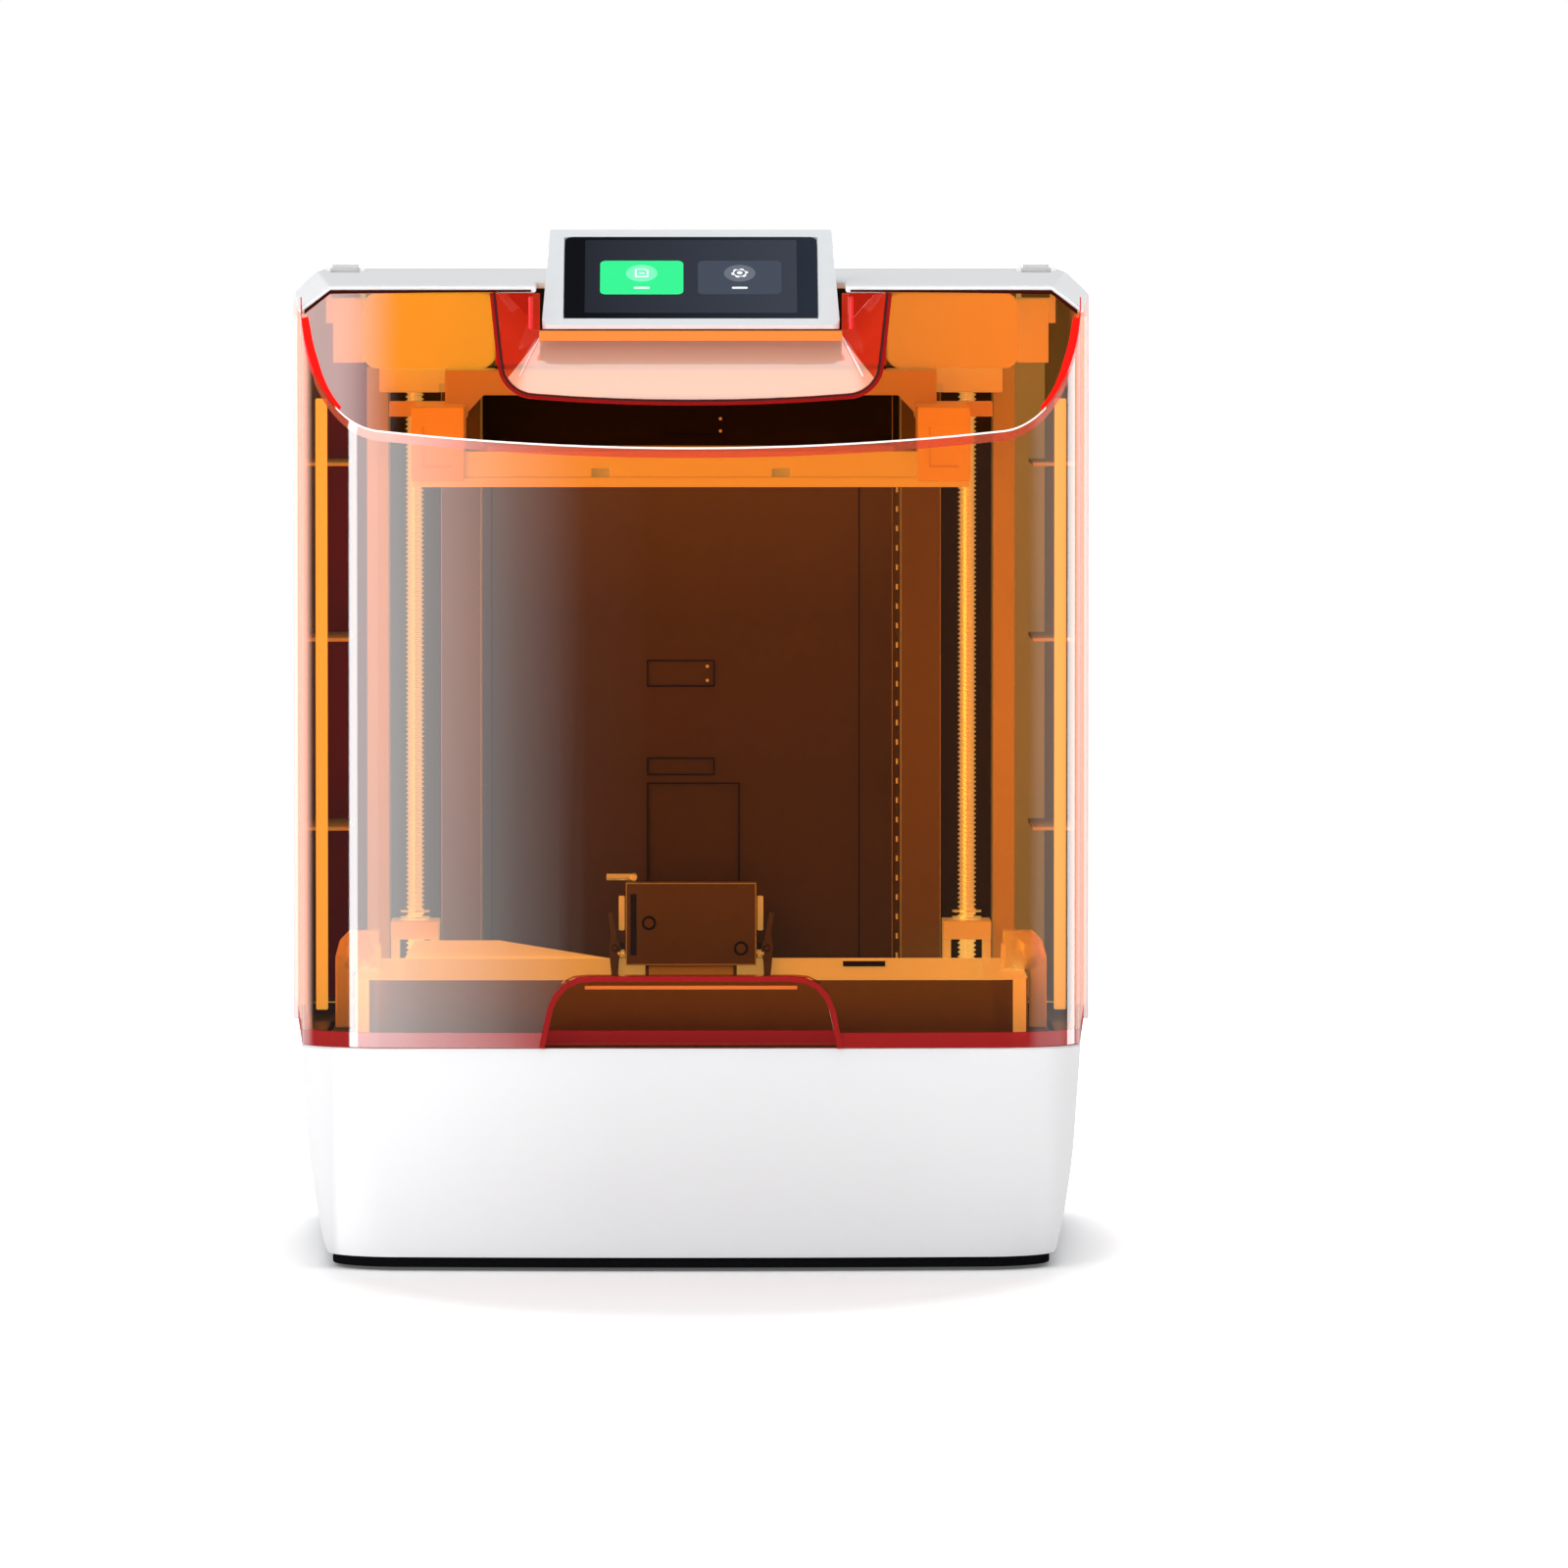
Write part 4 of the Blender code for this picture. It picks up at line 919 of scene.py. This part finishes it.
for x0, x1, z0, z1 in ((-19, 10, 240, 251), (-19, 10, 201, 208), (-19, 21, 150, 197), (-12, 16, 350, 360)):
    frame_out = box(x0 - 0.4, x1 + 0.4, 237.2, 238.3, z0 - 0.4, z1 + 0.4)
    cut(frame_out, box(x0 + 0.2, x1 - 0.2, 236.0, 240.0, z0 + 0.2, z1 - 0.2))
    finish_piece(frame_out, f"panel_frame_{z0}", RECESS_SHADE, "machine")
for x, z in ((7.2, 248.6), (7.2, 242.4), (13.0, 357.6), (13.0, 352.2)):
    finish_piece(rod_d(x, z, 237.2, 238.6, 0.7, 16), f"panel_screw_{int(z)}", ALLOY, "machine")
for i, x in enumerate((-94.6, 88.6, -87.6, 74.0)):
    seam = box(x - 0.22, x + 0.22, 237.5, 238.3, 96.0, 372.0)
    finish_piece(seam, f"panel_seam_{i}", LINE if i in (0, 1) else RECESS_SHADE, "machine")
slots = []
for i in range(25):
    z = 120.0 + 8.55 * i
    slots.append(box(90.2, 91.1, 237.3, 238.4, z, z + 2.4))
finish_piece(merge(*slots), "panel_slots", CAST, "machine")

# ---------------------------------------------------------------- side trims, painted light and painted shade behind the hood's corners and on the columns

for side, word in SIDES:
    # A thin glowing sheet on the housing's front edge: painted light, seen pale through the hood's sides.
    flange = sided_box(side, 169.9, 173.3, 204.95, 205.25, 96.0, 403.0)
    finish_piece(flange, "rear_flange_" + word, GLOWING_FLANGE, "machine")
    # The side trims glow yellow: painted light.
    trim = sided_box(side, 159.2, 164.4, 208.0, 210.0, 99.0, 367.0)
    finish_piece(trim, "side_trim_glowing_" + word, GLOWING_TRIM, "machine", (), 0.6)
    # Painted shade behind the left corner, a dark red strip; on the right the same strip is drawn in the
    # heads' pale grey as painted light.
    shade = sided_box(side, 142.6, 161.4 if side < 0 else 157.2, 300.0, 302.0, 99.0, 400.0)
    finish_piece(shade, "side_shade_" + word, SHADE if side < 0 else CAST, "machine")
    # Painted shade: a dark sheet over each column's inner face.
    face = sided_box(side, 92.3, 109.2, 213.2, 213.7, 96.0, 380.0)
    finish_piece(face, "column_inner_shade_" + word, COLUMN_SHADE, "machine")
    # Painted shade: a dark sheet at the back of each column's channel.
    back = sided_box(side, 109.8, 132.2, 245.2, 245.7, 96.0, 380.0)
    finish_piece(back, "column_channel_" + word, CHANNEL_SHADE, "machine")

# ---------------------------------------------------------------- the clamps' cast finger pads

PAD_X, PAD_Z = 146.5, 131.0
PAD_SHAPE = [(138.5, 138.8), (147.5, 138.9), (151.8, 134.5), (153.8, 127.0)]
PAD_SHAPE += [(150.5, 122.6), (143.5, 120.4), (138.2, 123.6), (136.4, 130.5)]
for side, word in SIDES:
    points = []
    for d, grown in ((108.6, 0.35), (110.4, 0.68), (113.0, 0.90), (118.0, 1.0), (122.4, 1.0)):
        for x, z in PAD_SHAPE:
            points.append(at(side * (PAD_X + (x - PAD_X) * grown), d, PAD_Z + (z - PAD_Z) * grown))
    finish_piece(hull(points), "vat_clamp_pad_" + word, ALLOY, "clamp_" + word, (), 1.0, 3, 12.0)
    wedge = [(133.4, 121.6), (135.4, 121.6), (136.2, 132.4), (134.0, 133.6)]
    wedge = front_prism([(side * x, z) for x, z in wedge], 113.0, 117.0)
    finish_piece(wedge, "vat_clamp_nib_" + word, CAST, "clamp_" + word, (), 0.3)

# ---------------------------------------------------------------- feed head details


def spring(x0, x1, d, z, name):
    """A small coil spring of four turns along X."""
    radius, wire = 1.5, 0.35
    rings = []
    steps = 4 * 14
    for i in range(steps + 1):
        turn = 2 * math.pi * i / 14
        x = x0 + (x1 - x0) * i / steps
        ring = []
        for j in range(6):
            roll = 2 * math.pi * j / 6
            reach = radius + wire * math.cos(roll)
            ring.append(at(x + wire * math.sin(roll), d + reach * math.cos(turn), z + reach * math.sin(turn)))
        rings.append(ring)
    return finish_piece(loft(rings), name, STEEL, "bed", (), 0.0, 2, 60.0)


# Painted shade: dark rings round the feed head's two screws.
for x, z in ((-18.4, 138.3), (21.8, 127.2)):
    finish_piece(rod_d(x, z, 183.9, 184.8, 3.1, 28), f"feed_boss_{int(z)}", RECESS_SHADE, "bed", (), 0.2)
    finish_piece(rod_d(x, z, 183.4, 184.8, 2.1, 24), f"feed_screw_{int(z)}", CASE, "bed", (), 0.3)
# Painted shade in the feed head's slot.
slot = box(-26.3, -23.9, 185.0, 186.2, 124.2, 150.8)
finish_piece(slot, "feed_slot", RECESS_SHADE, "bed")
frame_edge = cut(box(-28.5, 28.5, 184.2, 184.7, 119.9, 155.9), box(-28.0, 28.0, 180.0, 190.0, 120.4, 155.4))
finish_piece(frame_edge, "feed_cover_edge", PALE, "bed")
plate = box(-18.5, 18.5, 186.6, 187.8, 112.9, 119.6)
finish_piece(plate, "feed_lower_plate", PALE, "bed", (), 0.3)
for side, word in SIDES:
    pad = sided_box(side, 29.0, 31.6, 195.0, 200.0, 134.5, 149.5)
    finish_piece(pad, "feed_pad_" + word, GREY, "bed", (), 0.5)
    low, high = span(side, 28.8, 32.0)
    spring(low, high, 192.0, 124.6, "feed_spring_" + word)

# ---------------------------------------------------------------- screen

FACE_LOW, FACE_HIGH = (33.0, 401.0), (99.0, 441.5)
FACE_LENGTH = math.hypot(FACE_HIGH[0] - FACE_LOW[0], FACE_HIGH[1] - FACE_LOW[1])


def on_screen(u, v, lift):
    """A point u mm right of the screen's middle, v mm up its face and this far off it."""
    run = (FACE_HIGH[0] - FACE_LOW[0]) / FACE_LENGTH
    rise = (FACE_HIGH[1] - FACE_LOW[1]) / FACE_LENGTH
    return at(u, FACE_LOW[0] + run * v - rise * lift, FACE_LOW[1] + rise * v + run * lift)


def screen_outline(low, high, low_round, high_round):
    """The screen's outline in its own plane, narrower at the top, with round corners."""
    points = []
    for side, v, radius, first in (
        (1, low, low_round, -90),
        (1, high, high_round, 0),
        (-1, high, high_round, 90),
        (-1, low, low_round, 180),
    ):
        half = 63.5 - 3.0 * v / FACE_LENGTH
        centre = (side * (half - radius), v + (radius if v == low else -radius))
        for i in range(9):
            turn = math.radians(first + 90 * i / 8)
            points.append((centre[0] + radius * math.cos(turn), centre[1] + radius * math.sin(turn)))
    return points


edge = screen_outline(-1.0, 79.6, 7.5, 4.0)
mould = loft([[on_screen(u, v, lift) for u, v in edge] for lift in (-60.0, 10.0)])
bezel = boolean(copy_of("screen_housing"), [mould], "INTERSECT")
finish_piece(clean(bezel), "screen_bezel", BEZEL, "lid", ("screen_housing",), 1.4, 4, 28.0)
rings = [[on_screen(u, v, lift) for u, v in rounded(-54.0, 54.0, 6.2, 71.2, 3.6)] for lift in (-1.5, 0.2)]
finish_piece(loft(rings), "screen_pane", GLASS, "lid", ("screen_glass",))


def decal(outline, lift, thick, name, material):
    """A thin shape on the screen's face."""
    rings = [[on_screen(u, v, h) for u, v in outline] for h in (lift, lift + thick)]
    return finish_piece(loft(rings), name, material, "lid")


def glowing(name, colour, strength):
    return principled(name, colour, 0.4, spec=0.1, glow=strength)


def painted_reflection_across(material, left, right):
    """Paints a reflection on the screen: the picture brightens from left to right."""
    material.node_tree.nodes["Principled BSDF"].inputs["Emission Strength"].default_value = 1.0
    return along(material, "X", [(-45.0, left), (50.0, right)], LIGHT)


# Painted reflection: the black glass and the display field brighten towards the right.
painted_reflection_across(GLASS, (0.0, 0.0, 0.0), (0.018, 0.024, 0.036))
PAD = principled("display_field", (0.01, 0.012, 0.018), 0.4, spec=0.1)
painted_reflection_across(PAD, (0.002, 0.003, 0.006), (0.030, 0.036, 0.052))
GREEN = glowing("display_green", (0.022, 0.68, 0.22), 0.35)
GREEN_PALE = glowing("display_green_pale", (0.16, 0.76, 0.40), 0.35)
SLATE = glowing("display_slate", (0.030, 0.037, 0.055), 0.8)
SLATE_PALE = glowing("display_slate_pale", (0.085, 0.095, 0.12), 0.7)
INK = glowing("display_ink", (0.85, 0.88, 0.88), 0.3)

decal(rounded(-45.3, 45.3, 10.0, 68.5, 1.0), 0.22, 0.08, "display_field", PAD)
ICON_U, ICON_V = 20.9, 41.4  # the middle of the right key's icon
for x0, x1, word, back, pale in (
    (-38.8, -3.2, "start", GREEN, GREEN_PALE),
    (3.0, 38.8, "setup", SLATE, SLATE_PALE),
):
    middle = (x0 + x1) / 2
    decal(rounded(x0, x1, 24.6, 51.6, 2.6), 0.32, 0.08, f"display_{word}_key", back)
    decal(disc((middle, ICON_V), 6.7, 40), 0.42, 0.08, f"display_{word}_disc", pale)
    decal(rounded(middle - 3.4, middle + 3.4, 29.0, 30.4, 0.6), 0.42, 0.08, f"display_{word}_caption", INK)
sheet = [(-2.9, 38.2), (2.9, 38.2), (2.9, 43.4), (1.2, 44.9), (-2.9, 44.9)]
inner = [(-2.2, 38.9), (2.2, 38.9), (2.2, 43.1), (0.9, 44.2), (-2.2, 44.2)]
for word, points, lift, thick, material in (
    ("icon", sheet, 0.52, 0.08, INK),
    ("inside", inner, 0.62, 0.06, GREEN_PALE),
    ("line", rounded(-1.2, 1.2, 40.6, 41.3, 0.3), 0.70, 0.05, INK),
):
    decal([(u - 21.0, v) for u, v in points], lift, thick, "display_sheet_" + word, material)
gear = []
for i in range(48):
    turn = 2 * math.pi * i / 48
    radius = 3.6 if (i // 4) % 2 == 0 else 2.9
    gear.append((ICON_U + radius * math.cos(turn), ICON_V + radius * math.sin(turn)))
decal(gear, 0.52, 0.08, "display_gear_icon", INK)
decal(disc((ICON_U, ICON_V), 2.4, 32), 0.62, 0.06, "display_gear_inside", SLATE_PALE)
decal(disc((ICON_U, ICON_V), 1.2, 24), 0.70, 0.05, "display_gear_hub", INK)

# ---------------------------------------------------------------- floor, lights and camera

bm = bmesh.new()
bmesh.ops.create_grid(bm, x_segments=1, y_segments=1, size=60.0)
floor = from_bmesh(bm, "floor")
floor.visible_glossy = False
floor_look = bpy.data.materials.new("floor")
floor_look.use_nodes = True
tree = floor_look.node_tree
tree.nodes.remove(tree.nodes["Principled BSDF"])
diffuse = add(tree, "BsdfDiffuse", {"Color": (0.92, 0.92, 0.925, 1.0)})
gloss = add(tree, "BsdfGlossy", {"Color": (1.0, 1.0, 1.0, 1.0), "Roughness": 0.10})
mix = add(tree, "MixShader", {"Fac": 0.06, 1: diffuse.outputs[0], 2: gloss.outputs[0]})
# Painted light and shadow on the floor: it glows more, up to white, away from the machine and sooner outside
# a pool around it, which leaves a painted shadow under it.
place = add(tree, "TexCoord").outputs["Object"]
away = add(tree, "VectorMath", {0: place}, operation="LENGTH").outputs["Value"]
far = add(tree, "MapRange", {"Value": away, "From Min": 0.3, "From Max": 2.5, "To Min": 0.10, "To Max": 0.85})
squashed = add(tree, "VectorMath", {0: place, 1: (5.0, 2.2, 0.0)}, operation="MULTIPLY").outputs["Vector"]
shadow_pool = add(tree, "VectorMath", {0: squashed}, operation="LENGTH").outputs["Value"]
strength = maths(tree, "ADD", far.outputs["Result"], smooth(tree, shadow_pool, 0.80, 1.15, 0.70))
glow = add(tree, "Emission", {"Strength": strength})
total = add(tree, "AddShader", {0: mix.outputs[0], 1: glow.outputs[0]})
tree.links.new(total.outputs[0], tree.nodes["Material Output"].inputs["Surface"])
floor.data.materials.append(floor_look)

world = bpy.data.worlds.new("studio")
bpy.context.scene.world = world
world.use_nodes = True
tree = world.node_tree
tree.nodes.clear()


def background(colour, strength):
    return add(tree, "Background", {"Color": (*colour, 1.0), "Strength": strength}).outputs[0]


def mixed(factor, first, second):
    return add(tree, "MixShader", {"Fac": factor, 1: first, 2: second}).outputs[0]


# The studio as polished faces see it: a tall soft panel at the left front with a bright outer edge, a
# narrow one towards the right rear, two dim ones behind, and a soft ceiling panel. Degrees run from the
# front (0) to the left (+) and to the right (-).
PANEL_GLOW = 10.0
STUDIO = (
    (-180.0, 0.05),
    (-168.0, 0.05),
    (-160.0, 0.16),
    (-145.0, 0.16),
    (-137.0, 0.05),
    (-135.5, 0.60),
    (-115.0, 0.60),
    (-114.0, 0.05),
    (-97.0, 0.10),
    (-60.0, 0.08),
    (-45.0, 0.01),
    (2.5, 0.005),
    (4.5, 0.045),
    (5.8, 0.12),
    (7.0, 0.25),
    (9.0, 0.44),
    (38.0, 0.46),
    (39.0, 1.0),
    (50.0, 1.0),
    (51.0, 0.01),
    (118.0, 0.01),
    (135.0, 0.16),
    (160.0, 0.16),
    (168.0, 0.05),
    (180.0, 0.05),
)
split = add(tree, "SeparateXYZ", {0: add(tree, "TexCoord").outputs["Generated"]})
leftward = maths(tree, "MULTIPLY", split.outputs["X"], -1.0)
forward = maths(tree, "MULTIPLY", split.outputs["Y"], -1.0)
turn = maths(tree, "ARCTAN2", leftward, forward)
share = maths(tree, "ADD", maths(tree, "MULTIPLY", turn, 0.5 / math.pi), 0.5)
panels = ramp_of(tree, share, [((degrees + 180.0) / 360.0, value) for degrees, value in STUDIO])
level = maths(tree, "SUBTRACT", 1.0, smooth(tree, split.outputs["Z"], 0.30, 0.60))
around = maths(tree, "MULTIPLY", maths(tree, "MULTIPLY", panels, PANEL_GLOW), level)
ceiling = maths(tree, "MULTIPLY", smooth(tree, split.outputs["Z"], 0.93, 0.99), 4.0)
reflected = background((1.0, 1.0, 1.0), maths(tree, "ADD", around, ceiling))
behind = maths(tree, "MULTIPLY", smooth(tree, split.outputs["Y"], -1.0, 0.8), 0.45)
lit = background((0.98, 0.99, 1.0), maths(tree, "ADD", behind, 0.35))
path = add(tree, "LightPath")
seen = background((1.0, 1.0, 1.0), 1.0)
chosen = mixed(path.outputs["Is Glossy Ray"], lit, reflected)
chosen = mixed(path.outputs["Is Camera Ray"], chosen, seen)
add(tree, "OutputWorld", {"Surface": chosen})


def softbox(name, place, aim, wide, high, power):
    light = bpy.data.lights.new(name, "AREA")
    light.shape = "RECTANGLE"
    light.size = wide
    light.size_y = high
    light.energy = power
    obj = bpy.data.objects.new(name, light)
    bpy.context.scene.collection.objects.link(obj)
    obj.location = place
    obj.rotation_euler = (Vector(aim) - Vector(place)).to_track_quat("-Z", "Y").to_euler()
    obj.visible_camera = False
    obj.visible_glossy = False
    return obj


softbox("top_light", (0.0, -0.6, 3.0), (0.0, 0.0, 0.2), 3.0, 3.0, 22.0)
softbox("front_light", (-1.9, -4.4, 2.5), (0.0, 0.0, 0.2), 2.0, 2.0, 50.0)
softbox("left_light", (-3.2, -2.4, 1.2), (0.0, 0.0, 0.25), 1.2, 2.2, 17.0)
softbox("right_light", (3.4, -1.2, 1.2), (0.0, 0.0, 0.25), 1.0, 2.2, 4.0)

camera = bpy.data.cameras.new("camera")
camera.lens = 325.5
camera.sensor_width = 36.0
camera.clip_start = 0.5
camera.clip_end = 200.0
camera_object = bpy.data.objects.new("camera", camera)
bpy.context.scene.collection.objects.link(camera_object)
camera_object.location = (0.0, -6.165, 0.477)
aim = Vector((0.0394, -0.165, 0.2074))
camera_object.rotation_euler = (aim - camera_object.location).to_track_quat("-Z", "Y").to_euler()
bpy.context.scene.camera = camera_object
bpy.context.scene.view_settings.view_transform = "Standard"
